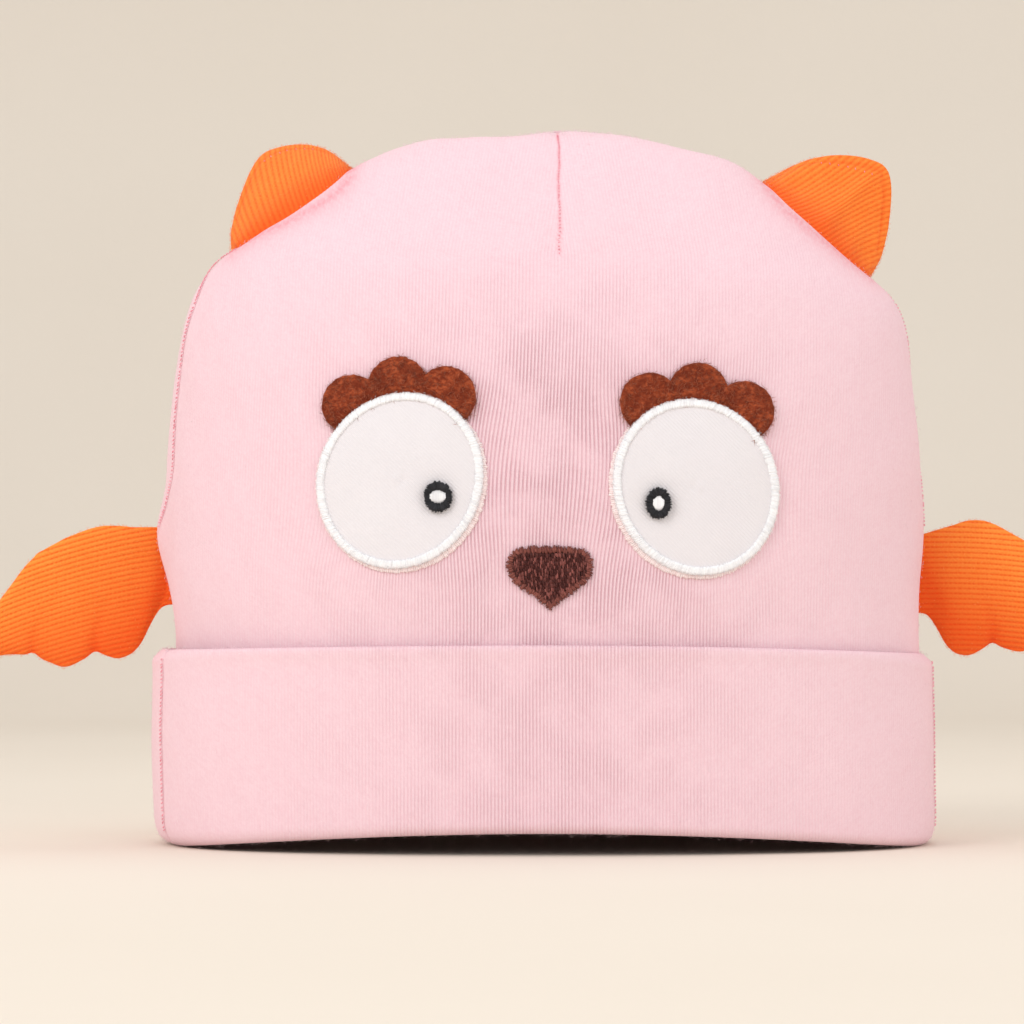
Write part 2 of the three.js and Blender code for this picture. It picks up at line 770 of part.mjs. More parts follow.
// Where a scallop's edge, followed from its top by the turn given, goes under the eye.
function tipAngle(centre, top, turn) {
  let shown = 0;
  let hidden = 1;
  for (let step = 0; step < BISECTION_STEPS; step += 1) {
    const middle = (shown + hidden) / 2;
    const point = onCircle(centre, BROW_SCALLOP, top + turn * middle);
    if (point.length() > eyeRadius(-1, point.angle()) + 2 * GAP) shown = middle;
    else hidden = middle;
  }
  return top + turn * shown;
}

// The edge of the left brow about its eye's centre: one arc a scallop, from the outer tip inwards.
function browEdge() {
  const tops = BROW_ANGLES.map(THREE.MathUtils.degToRad);
  const centres = tops.map((top) =>
    onCircle(new THREE.Vector2(), BROW_REACH * eyeRadius(-1, top), top),
  );
  const valleys = centres.slice(1).map((centre, k) => {
    const apart = centre.clone().sub(centres[k]);
    const spread = Math.acos(apart.length() / (2 * BROW_SCALLOP));
    return { leaving: apart.angle() + spread, entering: apart.angle() + Math.PI - spread };
  });
  const last = tops.length - 1;
  return tops.flatMap((top, k) => {
    const centre = centres[k];
    const from = k === 0 ? tipAngle(centre, top, Math.PI) : valleys[k - 1].entering;
    const to = k === last ? tipAngle(centre, top, -Math.PI) : valleys[k].leaving;
    const sweep = THREE.MathUtils.euclideanModulo(from - to, 2 * Math.PI);
    const steps = Array.from({ length: SCALLOP_STEPS + 1 }, (_, step) => step / SCALLOP_STEPS);
    return steps.slice(k === 0 ? 0 : 1).map((t) => onCircle(centre, BROW_SCALLOP, from - sweep * t));
  });
}

function brow(eye) {
  const centre = eyeCentre(eye);
  const mirror = new THREE.Vector2(-eye.side, 1);
  const edge = browEdge().map((corner) => corner.multiply(mirror));
  const face = (lift) =>
    BROW_RINGS.map((share) =>
      edge.map((corner) => {
        const inner = corner.clone().setLength(eyeRadius(eye.side, corner.angle()) + GAP);
        const offset = inner.lerp(corner, share).add(centre);
        return onFront(offset.x, offset.y, lift);
      }),
    );
  return solidBetween(face(GAP + BROW_THICKNESS), face(GAP));
}

function beakOutline() {
  const points = BEAK_OUTLINE.map(
    ({ across, up }) => new THREE.Vector2(across * BEAK_HALF_WIDTH, (up - BEAK_MIDDLE) * BEAK_HEIGHT),
  );
  const half = new THREE.SplineCurve(points).getPoints(BEAK_HALF_SEGMENTS);
  const other = half.slice(1, -1).reverse();
  return [...half, ...other.map((point) => new THREE.Vector2(-point.x, point.y))];
}

const BEAK_CENTRE = new THREE.Vector2(BEAK_ASIDE, BEAK_UP + BEAK_MIDDLE * BEAK_HEIGHT);

function beakFill() {
  const inset = BEAK_BORDER + GAP;
  const front = [
    { share: 0, lift: GAP + BEAK_THICKNESS },
    { share: BEAK_FLAT, inset: BEAK_FLAT * inset, lift: GAP + BEAK_THICKNESS },
    { share: 1, inset, lift: GAP + BEAK_FILL_EDGE },
  ];
  const back = front.map((ring) => ({ ...ring, lift: GAP }));
  return solidBetween(
    ringsOnFront(BEAK_CENTRE, beakOutline(), front),
    ringsOnFront(BEAK_CENTRE, beakOutline(), back),
    true,
  );
}

function beakBorder() {
  return stitchedBand(BEAK_CENTRE, beakOutline(), BEAK_BORDER, BEAK_BORDER_EDGE, BEAK_THICKNESS);
}

// The hat

const hat = new THREE.Group();
hat.add(pieceOf("front_panel", "jersey", panel(FRONT_ANGLES, -1)));
hat.add(pieceOf("back_panel", "jersey", panel(BACK_ANGLES, 1)));

for (const row of EARS) hat.add(pieceOf(row.name, "ribKnit", ear(row)));
for (const row of WINGS) hat.add(pieceOf(row.name, "ribKnit", wing(row)));

for (const eye of EYES) {
  hat.add(pieceOf(`brow_${eye.name}`, "felt", brow(eye)));
  hat.add(pieceOf(`eye_patch_${eye.name}`, "eyeKnit", eyePatch(eye)));
  hat.add(pieceOf(`eye_border_${eye.name}`, "whiteThread", eyeBorder(eye)));
  hat.add(pieceOf(`pupil_${eye.name}`, "blackThread", pupil(eye)));
  hat.add(pieceOf(`pupil_centre_${eye.name}`, "whiteThread", pupilMiddle(eye)));
}

hat.add(pieceOf("beak_fill", "darkThread", beakFill()));
hat.add(pieceOf("beak_border", "brownThread", beakBorder()));

export default hat;
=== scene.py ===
# A baby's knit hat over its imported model: fine jersey, padded rib-knit ears and wings, felt brows,
# padded eyes and embroidery. Lengths are in millimetres and become metres where a mesh is made.
# The face looks along -Y, and left is -X, as seen by someone who looks at the face.

import math

import bpy
import numpy as np
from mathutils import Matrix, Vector


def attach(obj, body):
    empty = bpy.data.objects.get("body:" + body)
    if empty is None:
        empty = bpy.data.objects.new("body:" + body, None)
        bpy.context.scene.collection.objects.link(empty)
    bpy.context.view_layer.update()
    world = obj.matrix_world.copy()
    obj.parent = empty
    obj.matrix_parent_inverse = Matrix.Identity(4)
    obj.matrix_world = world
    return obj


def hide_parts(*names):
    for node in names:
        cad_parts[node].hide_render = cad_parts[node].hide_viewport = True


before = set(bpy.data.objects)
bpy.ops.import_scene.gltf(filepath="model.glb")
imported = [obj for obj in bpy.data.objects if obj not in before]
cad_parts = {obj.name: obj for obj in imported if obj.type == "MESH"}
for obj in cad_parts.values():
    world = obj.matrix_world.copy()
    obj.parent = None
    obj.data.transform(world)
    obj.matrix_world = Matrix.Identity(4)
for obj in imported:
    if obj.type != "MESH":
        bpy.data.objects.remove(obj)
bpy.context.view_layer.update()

MM = 0.001
scene = bpy.context.scene

# Sizes of the knitted body

CROWN_HEIGHT = 150
CROWN_HALF_WIDTH = 80
CROWN_HALF_DEPTH = 50
CROWN_SQUARENESS = 2.3
WALL = 1.6
CUFF_HEIGHT = 40
CUFF_FOLD_AIR = 1.2
CUFF_AIR = {"left": 3.6, "right": 1.2, "front": 0.7, "back": 0.8}
RIM_ARCH = {"front": 4.4, "back": 2.0}
RIM_FLAT = 0.98
FOLD_RADIUS = CUFF_FOLD_AIR / 2
EDGE_BEND = 0.8  # height of the bend at the cuff's upper edge
FOLD_DROP = 2.092  # from the fold's axis down to the rim
DART_LENGTH = 29
DART_OFFSET = 2.9
WALE = 0.7
COURSE = 0.62
DART_WEDGE = 9  # width of the cloth that the dart takes in at the top

# up, left, right, deep
CROWN_SECTIONS = np.array([
    [0.0, 0.986, 0.99, 0.986], [0.133, 0.982, 0.99, 0.99],
    [0.273, 0.968, 0.985, 0.992], [0.4, 0.996, 0.983, 1.0],
    [0.533, 1.008, 0.976, 0.988], [0.653, 1.002, 0.947, 0.94],
    [0.747, 0.973, 0.901, 0.858], [0.813, 0.902, 0.792, 0.76],
    [0.873, 0.756, 0.676, 0.64], [0.923, 0.62, 0.56, 0.52],
    [0.96, 0.498, 0.443, 0.4], [0.987, 0.338, 0.258, 0.25], [1.0, 0.0, 0.0, 0.0],
])

# aside, up, reach, out
CLOTH_FOLDS = [
    (-1.0, 0.436, 0.055, 1.5), (1.0, 0.42, 0.06, 0.5), (-0.126, 0.99, 0.05, -1.1),
    (0.352, 0.975, 0.05, -1.25), (-0.77, 0.87, 0.065, -0.9),
    (0.755, 0.875, 0.08, -1.5), (1.0, 0.605, 0.065, -1.1),
]

# Sizes of the padded pieces

# along, high
EAR_OUTLINE = np.array([
    [0.0, 0.0], [0.05, 0.25], [0.12, 0.5], [0.22, 0.71], [0.34, 0.87], [0.46, 0.97],
    [0.55, 1.0], [0.64, 0.93], [0.75, 0.75], [0.87, 0.5], [0.96, 0.25], [1.0, 0.0],
])
EARS = [
    dict(name="ear_left", side=-1, inner=0.948, outer=0.832, height=15.9, lean=27, skew=-0.2,
         slant=-0.42, fan=0.3, bow=14),
    dict(name="ear_right", side=1, inner=0.93, outer=0.795, height=20.0, lean=5, skew=0.03,
         slant=0.22, fan=0.1, bow=13),
]
EAR_THICKNESS = 9
EAR_RIB = 1.0
RIB_STITCH = 0.95

# out, top, low
WING_SECTIONS = np.array([
    [0.0, 0.0, 0.555], [0.04, 0.0, 0.58], [0.07, 0.0, 0.645], [0.1, 0.0, 0.735],
    [0.13, 0.0, 0.83], [0.175, 0.0, 0.905], [0.24, -0.01, 0.94], [0.34, 0.0, 0.91],
    [0.48, 0.075, 1.0], [0.57, 0.15, 0.96], [0.635, 0.225, 0.92],
    [0.765, 0.475, 0.915], [0.9, 0.74, 0.96], [1.0, 0.86, 0.88],
])
WING_NOTCHES = [0.345, 0.635]
# dim and dark set how much shade is painted near each wing's root; the right wing, shaded by the crown,
# gets more.
WINGS = [
    dict(name="wing_left", side=-1, up=66.45, lift=(0.0, 0.0), droop=0.0,
         slope=(0.13, 0.34), dim=0.65, dark=0.1),
    dict(name="wing_right", side=1, up=64.65, lift=(0.3, 0.23), droop=0.22,
         slope=(-0.04, 0.3), dim=0.8, dark=0.1),
]
WING_LENGTH = 45.5
WING_HEIGHT = 29.5
WING_THICKNESS = 8.5
WING_RIB = 1.09

# Sizes of the face

EYE_HALF_HEIGHT = 18.0
EYE_HALF_WIDTH = 16.5
EYE_TILT = 25
EYE_BORDER = 2.0
EYES = [
    dict(name="left", side=-1, aside=29.2, up=74.9, pupil=(2.75, 3.1), opening=(1.55, 1.38)),
    dict(name="right", side=1, aside=30.1, up=73.6, pupil=(2.5, 3.12), opening=(1.05, 1.55)),
]
PUPIL_INWARDS = 7.8
PUPIL_DOWN = 3.35
BROW_SCALLOP = 5.9
BROW_REACH = 1.055
BROW_ANGLES = [122, 91, 61]
BROW_THICKNESS = 1.2
BEAK_HALF_WIDTH = 8.5
BEAK_HEIGHT = 12.6
BEAK_UP = 49
BEAK_ASIDE = 0.8
BEAK_MIDDLE = 0.6

# across, up
BEAK_OUTLINE = np.array([
    [0.0, 1.0], [0.45, 0.99], [0.82, 0.95], [1.0, 0.76], [0.93, 0.53], [0.66, 0.34],
    [0.32, 0.185], [0.0, 0.0],
])

# Curves


def smoothstep(value, low, high):
    t = np.clip((value - low) / (high - low), 0, 1)
    return t * t * (3 - 2 * t)


def bell(value, width):
    return np.exp(-((value / width) ** 2))


def catmull_rom(a, b, c, d, t):
    bend = 2 * a - 5 * b + 4 * c - d + (3 * b - a - 3 * c + d) * t
    return b + 0.5 * t * (c - a + t * bend)


def read_table(rows, wanted, column):
    """A column of a table where its first, rising column has the wanted value."""
    wanted = np.asarray(wanted, float)
    row = np.clip(np.searchsorted(rows[:, 0], wanted, side="left") - 1, 0, len(rows) - 2)
    low, high = rows[row, 0], rows[row + 1, 0]
    t = np.clip((wanted - low) / (high - low), 0, 1)
    before = rows[np.maximum(row - 1, 0), column]
    after = rows[np.minimum(row + 2, len(rows) - 1), column]
    return catmull_rom(before, rows[row, column], rows[row + 1, column], after, t)


def signed_power(value, power):
    return np.sign(value) * np.abs(value) ** power


def unit(vectors):
    return vectors / np.maximum(np.linalg.norm(vectors, axis=-1, keepdims=True), 1e-12)


def grid_normals(grid, wrap_rows=False):
    """Normals of a grid of points, rows by columns, along the cross product of row and column steps."""
    if wrap_rows:
        down = np.roll(grid, -1, 0) - np.roll(grid, 1, 0)
    else:
        down = np.gradient(grid, axis=0)
    return unit(np.cross(np.gradient(grid, axis=1), down))


def arc_lengths(points, axis=0):
    """How far each point lies along its line, whose steps run along the axis."""
    steps = np.linalg.norm(np.diff(points, axis=axis), axis=-1)
    return np.insert(np.cumsum(steps, axis=axis), 0, 0.0, axis=axis)


def spline(values, place, wrap=False):
    """A smooth line through values, read at places counted in steps from the first."""
    size = len(values)
    row = np.minimum(place.astype(int), size - (1 if wrap else 2))
    steps = [row + k for k in (-1, 0, 1, 2)]
    picked = [values[k % size if wrap else np.clip(k, 0, size - 1)] for k in steps]
    return catmull_rom(*picked, (place - row).reshape((-1,) + (1,) * (values.ndim - 1)))


def refine(grid, rows, columns, wrap_rows=False):
    """The grid drawn again with more rows and columns, on a smooth surface through its points."""

    def along_first(values, count, wrap):
        size = len(values)
        place = np.linspace(0, size if wrap else size - 1, count, endpoint=not wrap)
        return spline(values, place, wrap)

    tall = along_first(grid, rows, wrap_rows)
    wide = along_first(np.swapaxes(tall, 0, 1), columns, False)
    return np.swapaxes(wide, 0, 1)


# Crown surface

TOP = len(CROWN_SECTIONS) - 1
EXTENDED = np.vstack([
    2 * CROWN_SECTIONS[0] - CROWN_SECTIONS[1],
    CROWN_SECTIONS,
    CROWN_SECTIONS[[-2, -3]] * [1, -1, -1, -1],
])


def section_at(place):
    """Height, left, right and front-to-back half widths of the crown at a fractional section."""
    place = np.asarray(place, float)
    row = np.minimum(place.astype(int), TOP - 1)
    rows = [EXTENDED[row + k] for k in range(4)]
    shares = catmull_rom(*rows, (place - row)[..., None])
    sizes = shares * [CROWN_HEIGHT, CROWN_HALF_WIDTH, CROWN_HALF_WIDTH, CROWN_HALF_DEPTH]
    return np.moveaxis(sizes, -1, 0)


PLACES = np.linspace(0, TOP, 6001)
HEIGHTS = section_at(PLACES)[0]


def place_at(z):
    return np.interp(z, HEIGHTS, PLACES)


def middle_at(z):
    return DART_OFFSET * smoothstep(z, CUFF_HEIGHT, CROWN_HEIGHT - DART_LENGTH)


def plan_direction(angle):
    power = 2 / CROWN_SQUARENESS
    return signed_power(np.cos(angle), power), signed_power(np.sin(angle), power)


def plain_crown(place, angle, outwards=0):
    z, left, right, deep = section_at(place)
    across, back = plan_direction(angle)
    half = np.where(across < 0, left, right)
    x = middle_at(z) + across * (half + outwards)
    y = back * (deep + outwards)
    return np.stack(np.broadcast_arrays(x, y, z), -1)


def crown_normal(place, angle):
    place = np.minimum(np.asarray(place, float), TOP - 0.01)
    above = plain_crown(np.minimum(place + 0.02, TOP), angle)
    below = plain_crown(np.maximum(place - 0.02, 0), angle)
    before = plain_crown(place, angle - 0.01)
    after = plain_crown(place, angle + 0.01)
    return unit(np.cross(after - before, above - below))


def dart_line(z):
    """The dart wanders a little on its way down."""
    return DART_OFFSET + 0.12 * np.sin(z * 0.45) + 0.06 * np.sin(z * 1.3 + 1)


def dart_share(points):
    below = CROWN_HEIGHT - points[..., 2]
    return (points[..., 1] < 0) * (1 - smoothstep(below, 0.97 * DART_LENGTH, 1.03 * DART_LENGTH))


def ripple(points):
    """Soft unevenness of stretched cloth."""
    x, y, z = np.moveaxis(points, -1, 0)
    return (
        0.10 * np.sin(0.21 * x + 0.13 * z + 0.17 * y + 1.0)
        + 0.08 * np.sin(0.09 * x - 0.24 * z + 0.1 * y + 4.0)
        + 0.05 * np.sin(0.42 * x + 0.31 * z - 0.3 * y + 2.0)
        + 0.04 * np.sin(-0.5 * x + 0.12 * z + 0.4 * y)
    )


def cloth_folds(points):
    x, y, z = np.moveaxis(points, -1, 0)
    out = 0
    for aside, up, reach, size in CLOTH_FOLDS:
        away = np.sqrt((x - aside * CROWN_HALF_WIDTH) ** 2 + y**2 + (z - up * CROWN_HEIGHT) ** 2)
        out = out + size * WALL * bell(away, reach * CROWN_HEIGHT)
    return out


def eye_distance(x, z, eye):
    """How far outside an eye's outline a place on the front is, and the direction across."""
    dx, dz = x - eye["side"] * eye["aside"], z - eye["up"]
    away = np.hypot(dx, dz) + 1e-6
    angle = np.arctan2(dz, dx) - math.radians(eye["side"] * EYE_TILT)
    radius = 1 / np.hypot(np.cos(angle) / EYE_HALF_WIDTH, np.sin(angle) / EYE_HALF_HEIGHT)
    return away - radius, dx / away


def sewn_dip(points):
    """The cloth is drawn in a little where the eyes and the beak are sewn on."""
    x, y, z = np.moveaxis(points, -1, 0)
    front = y < 0
    dip = 0.35 * bell(np.hypot((x - BEAK_ASIDE) / 1.25, z - BEAK_UP - 7), 9)
    for eye in EYES:
        distance, _ = eye_distance(x, z, eye)
        dip = dip + 0.3 * bell(distance - 0.5, 2.0)
    return front * dip


def crown_point(place, angle, lift=0.0):
    """A point of the crown's outer face with its folds and its dart, or a distance above it."""
    point = plain_crown(place, angle)
    aside = point[..., 0] - dart_line(point[..., 2])
    groove = dart_share(point) * (0.3 * bell(aside, 2.2) + 0.04 * bell(aside, 0.3))
    out = cloth_folds(point) + ripple(point) - sewn_dip(point) - groove + lift
    return point + crown_normal(place, angle) * np.asarray(out)[..., None]


def on_front(x, z, lift=0.0):
    """A point a distance above the front, at a given place across and up."""
    x, z = np.broadcast_arrays(np.asarray(x, float), np.asarray(z, float))
    place = place_at(z)
    _, left, right, _ = section_at(place)
    aside = x - middle_at(z)
    across = np.clip(aside / np.where(aside < 0, left, right), -1, 1)
    angle = -np.arccos(signed_power(across, CROWN_SQUARENESS / 2))
    return crown_point(place, angle, lift)


# Meshes


def grid_faces(rows, columns, wrap_rows=False, wrap_columns=False):
    """Quads of a grid of points, rows by columns."""
    top = np.arange(rows if wrap_rows else rows - 1)
    left = np.arange(columns if wrap_columns else columns - 1)
    r, c = np.meshgrid(top, left, indexing="ij")
    r2, c2 = (r + 1) % rows, (c + 1) % columns
    corners = [r * columns + c, r * columns + c2, r2 * columns + c2, r2 * columns + c]
    return np.stack(corners, -1).reshape(-1, 4)


def face_out(faces, normals, outwards):
    """Faces and normals, turned round if they point the other way."""
    if np.sum(normals * outwards) < 0:
        return faces[:, ::-1], -normals
    return faces, normals


def new_object(name, points, faces, material, uv=None, **layers):
    mesh = bpy.data.meshes.new(name)
    mesh.from_pydata(np.asarray(points).reshape(-1, 3) * MM, [], np.asarray(faces))
    mesh.shade_smooth()
    loops = np.empty(len(mesh.loops), int)
    mesh.loops.foreach_get("vertex_index", loops)
    if uv is not None:
        layer = mesh.uv_layers.new(name="UVMap")
        flat = np.asarray(uv, np.float32).reshape(-1, 2)[loops]
        layer.uv.foreach_set("vector", flat.ravel())
    for key, values in layers.items():
        attribute = mesh.attributes.new(key, "FLOAT", "POINT")
        attribute.data.foreach_set("value", np.asarray(values, np.float32).ravel())
    mesh.materials.append(material)
    obj = bpy.data.objects.new(name, mesh)
    scene.collection.objects.link(obj)
    return obj


def dress(obj, slot, *nodes):
    """Fixes a piece to the hat and hides the plain solids it stands for. The slot is not used."""
    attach(obj, "root")
    if nodes:
        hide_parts(*nodes)
    return obj


def tubes(name, paths, radius, material, facing=(0, -1, 0), sides=6, **layers):
    """Threads along many paths of equally many points. facing is roughly the cloth's normal."""
    paths = np.asarray(paths, float)
    count, steps = paths.shape[:2]
    along = unit(np.gradient(paths, axis=1))
    aside = unit(np.cross(along, np.broadcast_to(facing, paths.shape)))
    up = np.cross(aside, along)
    share = np.linspace(-1, 1, steps)
    thin = np.sqrt(np.maximum(1 - share**6, 0.02))
    radii = np.broadcast_to(np.asarray(radius, float).reshape(-1, 1), (count, steps)) * thin
    turn = np.linspace(0, 2 * np.pi, sides, endpoint=False)
    ring = np.cos(turn)[:, None] * up[:, :, None] + np.sin(turn)[:, None] * aside[:, :, None]
    points = paths[:, :, None] + ring * radii[:, :, None, None]
    one = grid_faces(steps, sides, wrap_columns=True)
    faces = (one[None] + (np.arange(count) * steps * sides)[:, None, None]).reshape(-1, 4)
    spread = {key: np.repeat(values, steps * sides) for key, values in layers.items()}
    uv = np.stack(np.broadcast_arrays(np.linspace(0, 1, steps)[None, :, None], turn), -1)
    uv = np.broadcast_to(uv, (count, steps, sides, 2))
    return new_object(name, points, faces, material, uv=uv, **spread)


def fuzz(name, grid, normals, weight, count, lengths, material, slot, seed, flat, radius):
    """Short loose fibres that stand off a surface, most of them where the weight is high."""
    rng = np.random.default_rng(seed)
    weight = np.broadcast_to(weight, grid.shape[:2]).ravel()
    chosen = rng.choice(len(weight), count, p=weight / weight.sum())
    start = grid.reshape(-1, 3)[chosen] + rng.normal(0, 0.15, (count, 3))
    normal = normals.reshape(-1, 3)[chosen]
    lean = unit(np.cross(normal, rng.normal(size=(count, 3))))
    length = rng.uniform(*lengths, (count, 1))
    f = np.linspace(0, 1, 3)[:, None]
    rise = normal[:, None] * (f * (1.4 - 0.8 * f) * flat)
    reach = lean[:, None] * (f - 0.3 * f**2)
    curl = unit(np.cross(normal, lean))[:, None] * (0.35 * rng.normal(size=(count, 1, 1)) * f**2)
    paths = start[:, None] + (rise + reach + curl) * length[:, None]
    paths[..., 2] = np.maximum(paths[..., 2], 0.05)
    shade = rng.uniform(0, 1, count)
    fibres = tubes(name, paths, radius, material, (0.1, -1, 0.1), sides=3, shade=shade)
    return dress(fibres, slot)


def inflate(points, faces, held, pressure, cap, bending):
    """Blows a bag of cloth up with its seams held. No point moves further than the cap."""
    big = 0.02
    mesh = bpy.data.meshes.new("bag")
    mesh.from_pydata(points * big, [], faces)
    bag = bpy.data.objects.new("bag", mesh)
    scene.collection.objects.link(bag)
    group = bag.vertex_groups.new(name="held")
    group.add([int(k) for k in np.flatnonzero(held)], 1.0, "REPLACE")
    cloth = bag.modifiers.new("Cloth", "CLOTH")
    settings = cloth.settings
    settings.quality = 8
    settings.mass = 0.2
    settings.tension_stiffness = settings.compression_stiffness = 25
    settings.shear_stiffness = 12
    settings.bending_stiffness = bending
    settings.use_pressure = True
    settings.uniform_pressure_force = pressure
    settings.vertex_group_mass = "held"
    settings.effector_weights.gravity = 0
    cloth.collision_settings.use_collision = False
    cloth.point_cache.frame_start, cloth.point_cache.frame_end = 1, 20
    for number in range(1, 21):
        scene.frame_set(number)
    blown = bag.evaluated_get(bpy.context.evaluated_depsgraph_get()).to_mesh()
    moved = np.empty(len(points) * 3, np.float32)
    blown.vertices.foreach_get("co", moved)
    scene.frame_set(1)
    bpy.data.objects.remove(bag)
    bpy.data.meshes.remove(mesh)
    step = moved.reshape(-1, 3) / big - points
    length = np.linalg.norm(step, axis=1, keepdims=True)
    return points + step * np.minimum(1, cap / np.maximum(length, 1e-9))


# Materials


class Shader:
    """A material put together from nodes."""

    def __init__(self, name, roughness, specular, sheen=0.0, tint=(1.0, 1.0, 1.0)):
        self.material = bpy.data.materials.new(name)
        self.material.use_nodes = True
        self.tree = self.material.node_tree
        self.surface = self.tree.nodes["Principled BSDF"]
        inputs = self.surface.inputs
        inputs["Roughness"].default_value = roughness
        inputs["Specular IOR Level"].default_value = specular
        inputs["Sheen Weight"].default_value = sheen
        inputs["Sheen Tint"].default_value = (*tint, 1.0)

    def add(self, kind, inputs, **properties):
        node = self.tree.nodes.new(kind)
        for key, value in properties.items():
            setattr(node, key, value)
        for key, value in inputs.items():
            if isinstance(value, bpy.types.NodeSocket):
                self.tree.links.new(value, node.inputs[key])
            else:
                node.inputs[key].default_value = value
        return node

    def math(self, operation, *values):
        return self.add("ShaderNodeMath", dict(enumerate(values)), operation=operation).outputs[0]

    def times(self, first, second):
        return self.math("MULTIPLY", first, second)

    def wave(self, turns):
        return self.math("SINE", self.times(turns, 2 * math.pi))

    def crest(self, across, width):
        """Rises from 0 to 1 and back over each width."""
        phase = self.math("DIVIDE", across, width)
        return self.times(self.math("PINGPONG", phase, 0.5), 2.0)

    def remap(self, value, low, high, to_low=0.0, to_high=1.0):
        inputs = {0: value, 1: low, 2: high, 3: to_low, 4: to_high}
        node = self.add("ShaderNodeMapRange", inputs, interpolation_type="SMOOTHSTEP")
        return node.outputs[0]

    def uv(self):
        vector = self.add("ShaderNodeUVMap", {}).outputs[0]
        split = self.add("ShaderNodeSeparateXYZ", {0: vector})
        return vector, split.outputs[0], split.outputs[1]

    def place(self):
        """The place on the hat, in millimetres."""
        where = self.add("ShaderNodeTexCoord", {}).outputs["Object"]
        scaled = self.add("ShaderNodeVectorMath", {0: where, "Scale": 1 / MM}, operation="SCALE")
        return scaled.outputs[0]

    def stretch(self, vector, scale):
        node = self.add("ShaderNodeVectorMath", {0: vector, 1: scale}, operation="MULTIPLY")
        return node.outputs[0]

    def noise(self, vector, scale, detail=2.0, roughness=0.5):
        inputs = {"Vector": vector, "Scale": scale, "Detail": detail, "Roughness": roughness}
        return self.add("ShaderNodeTexNoise", inputs).outputs[0]

    def layer(self, name):
        return self.add("ShaderNodeAttribute", {}, attribute_name=name).outputs["Fac"]

    def mix(self, factor, first, second):
        inputs = {0: factor, 6: first, 7: second}
        return self.add("ShaderNodeMix", inputs, data_type="RGBA").outputs[2]

    def finish(self, colour, height, relief):
        """Sets the colour and a bump whose highest place is relief millimetres up."""
        inputs = {"Height": height, "Distance": relief * MM, "Strength": 1.0}
        bump = self.add("ShaderNodeBump", inputs)
        self.tree.links.new(colour, self.surface.inputs["Base Color"])
        self.tree.links.new(bump.outputs[0], self.surface.inputs["Normal"])
        return self.material


def rgb(red, green, blue):
    """A colour as it looks on a screen, from 0 to 255, turned into linear light."""
    shares = [value / 255 for value in (red, green, blue)]
    return [s / 12.92 if s <= 0.04045 else ((s + 0.055) / 1.055) ** 2.4 for s in shares] + [1.0]


def jersey_material(name):
    """Narrow upright wales of fine jersey, each made of slanting legs."""
    shader = Shader(name, 0.92, 0.2, 0.12, (1.0, 0.85, 0.88))
    vector, u, v = shader.uv()
    wander = shader.noise(shader.stretch(vector, (1.0, 0.12, 1.0)), 0.07, 1.0)
    crest = shader.crest(shader.math("MULTIPLY_ADD", wander, 0.8, u), WALE)
    wales = shader.remap(crest, 0.0, 0.6)
    slant = shader.math("MULTIPLY_ADD", crest, 0.45, shader.math("DIVIDE", v, COURSE))
    legs = shader.wave(slant)
    patches = shader.remap(shader.noise(vector, 0.09, 3.0), 0.35, 0.65, 0.65, 1.2)
    ribbed = shader.times(shader.layer("ribbed"), patches)
    fuzz = shader.noise(vector, 2.2, 3.0, 0.7)
    knit = shader.math("MULTIPLY_ADD", legs, 0.12, wales)
    height = shader.math("MULTIPLY_ADD", fuzz, 0.5, shader.times(knit, ribbed))
    groove = shader.times(shader.math("SUBTRACT", 1.0, wales), ribbed)
    tone = shader.mix(shader.noise(vector, 0.05, 3.0), rgb(238, 206, 213), rgb(241, 210, 217))
    tone = shader.mix(shader.times(groove, 0.4), tone, rgb(228, 160, 174))
    grain = shader.noise(vector, 1.3, 3.0, 0.8)
    tone = shader.mix(shader.remap(grain, 0.35, 0.7, 0.0, 0.34), tone, rgb(228, 184, 194))
    mottle = shader.noise(vector, 0.4, 3.0, 0.7)
    tone = shader.mix(shader.remap(mottle, 0.4, 0.7, 0.0, 0.16), tone, rgb(228, 180, 191))
    # Painted shade: a deeper pink along the seam and dart grooves, and a painted contact shadow on the
    # crown under the ears, broken up by noise.
    broken = shader.remap(shader.noise(vector, 0.9, 2.0), 0.35, 0.6, 0.55, 1.0)
    crease = shader.times(shader.layer("crease"), broken)
    tone = shader.mix(crease, tone, rgb(230, 130, 142))
    return shader.finish(tone, height, 0.1)


def rib_material(name, rib, dull, bright, valley_width, depth):
    """Rounded ribs of orange yarn with dark broken lines between them."""
    shader = Shader(name, 0.9, 0.2, 0.15, (1.0, 0.6, 0.35))
    vector, across, along = shader.uv()
    crest = shader.crest(across, rib)
    step = shader.math("MULTIPLY_ADD", crest, 0.5, shader.math("DIVIDE", along, RIB_STITCH))
    legs = shader.wave(step)
    broken = shader.remap(shader.noise(vector, 1.1, 3.0, 0.7), 0.3, 0.6, 0.6, 1.0)
    valley = shader.times(shader.remap(crest, 0.0, valley_width, 1.0, 0.0), broken)
    dashes = shader.times(valley, shader.remap(legs, -1.0, 0.6, 0.72, 1.0))
    fuzz = shader.noise(vector, 2.2, 3.0, 0.7)
    height = shader.math("MULTIPLY_ADD", legs, 0.12, crest)
    height = shader.math("MULTIPLY_ADD", fuzz, 1.1, height)
    tone = shader.mix(shader.noise(vector, 0.3, 3.0), dull, bright)
    tone = shader.mix(shader.remap(fuzz, 0.35, 0.65, 0.0, 0.25), tone, rgb(240, 100, 30))
    tone = shader.mix(shader.times(dashes, depth), tone, rgb(236, 78, 14))
    # Painted shade: a redder orange at the roots, lower parts and notches of the wings and at the ears'
    # bases, turning dark red where it is strongest.
    crease = shader.layer("crease")
    tone = shader.mix(crease, tone, rgb(234, 64, 10))
    tone = shader.mix(shader.remap(crease, 0.75, 1.0), tone, rgb(176, 38, 8))
    return shader.finish(tone, height, 0.1)


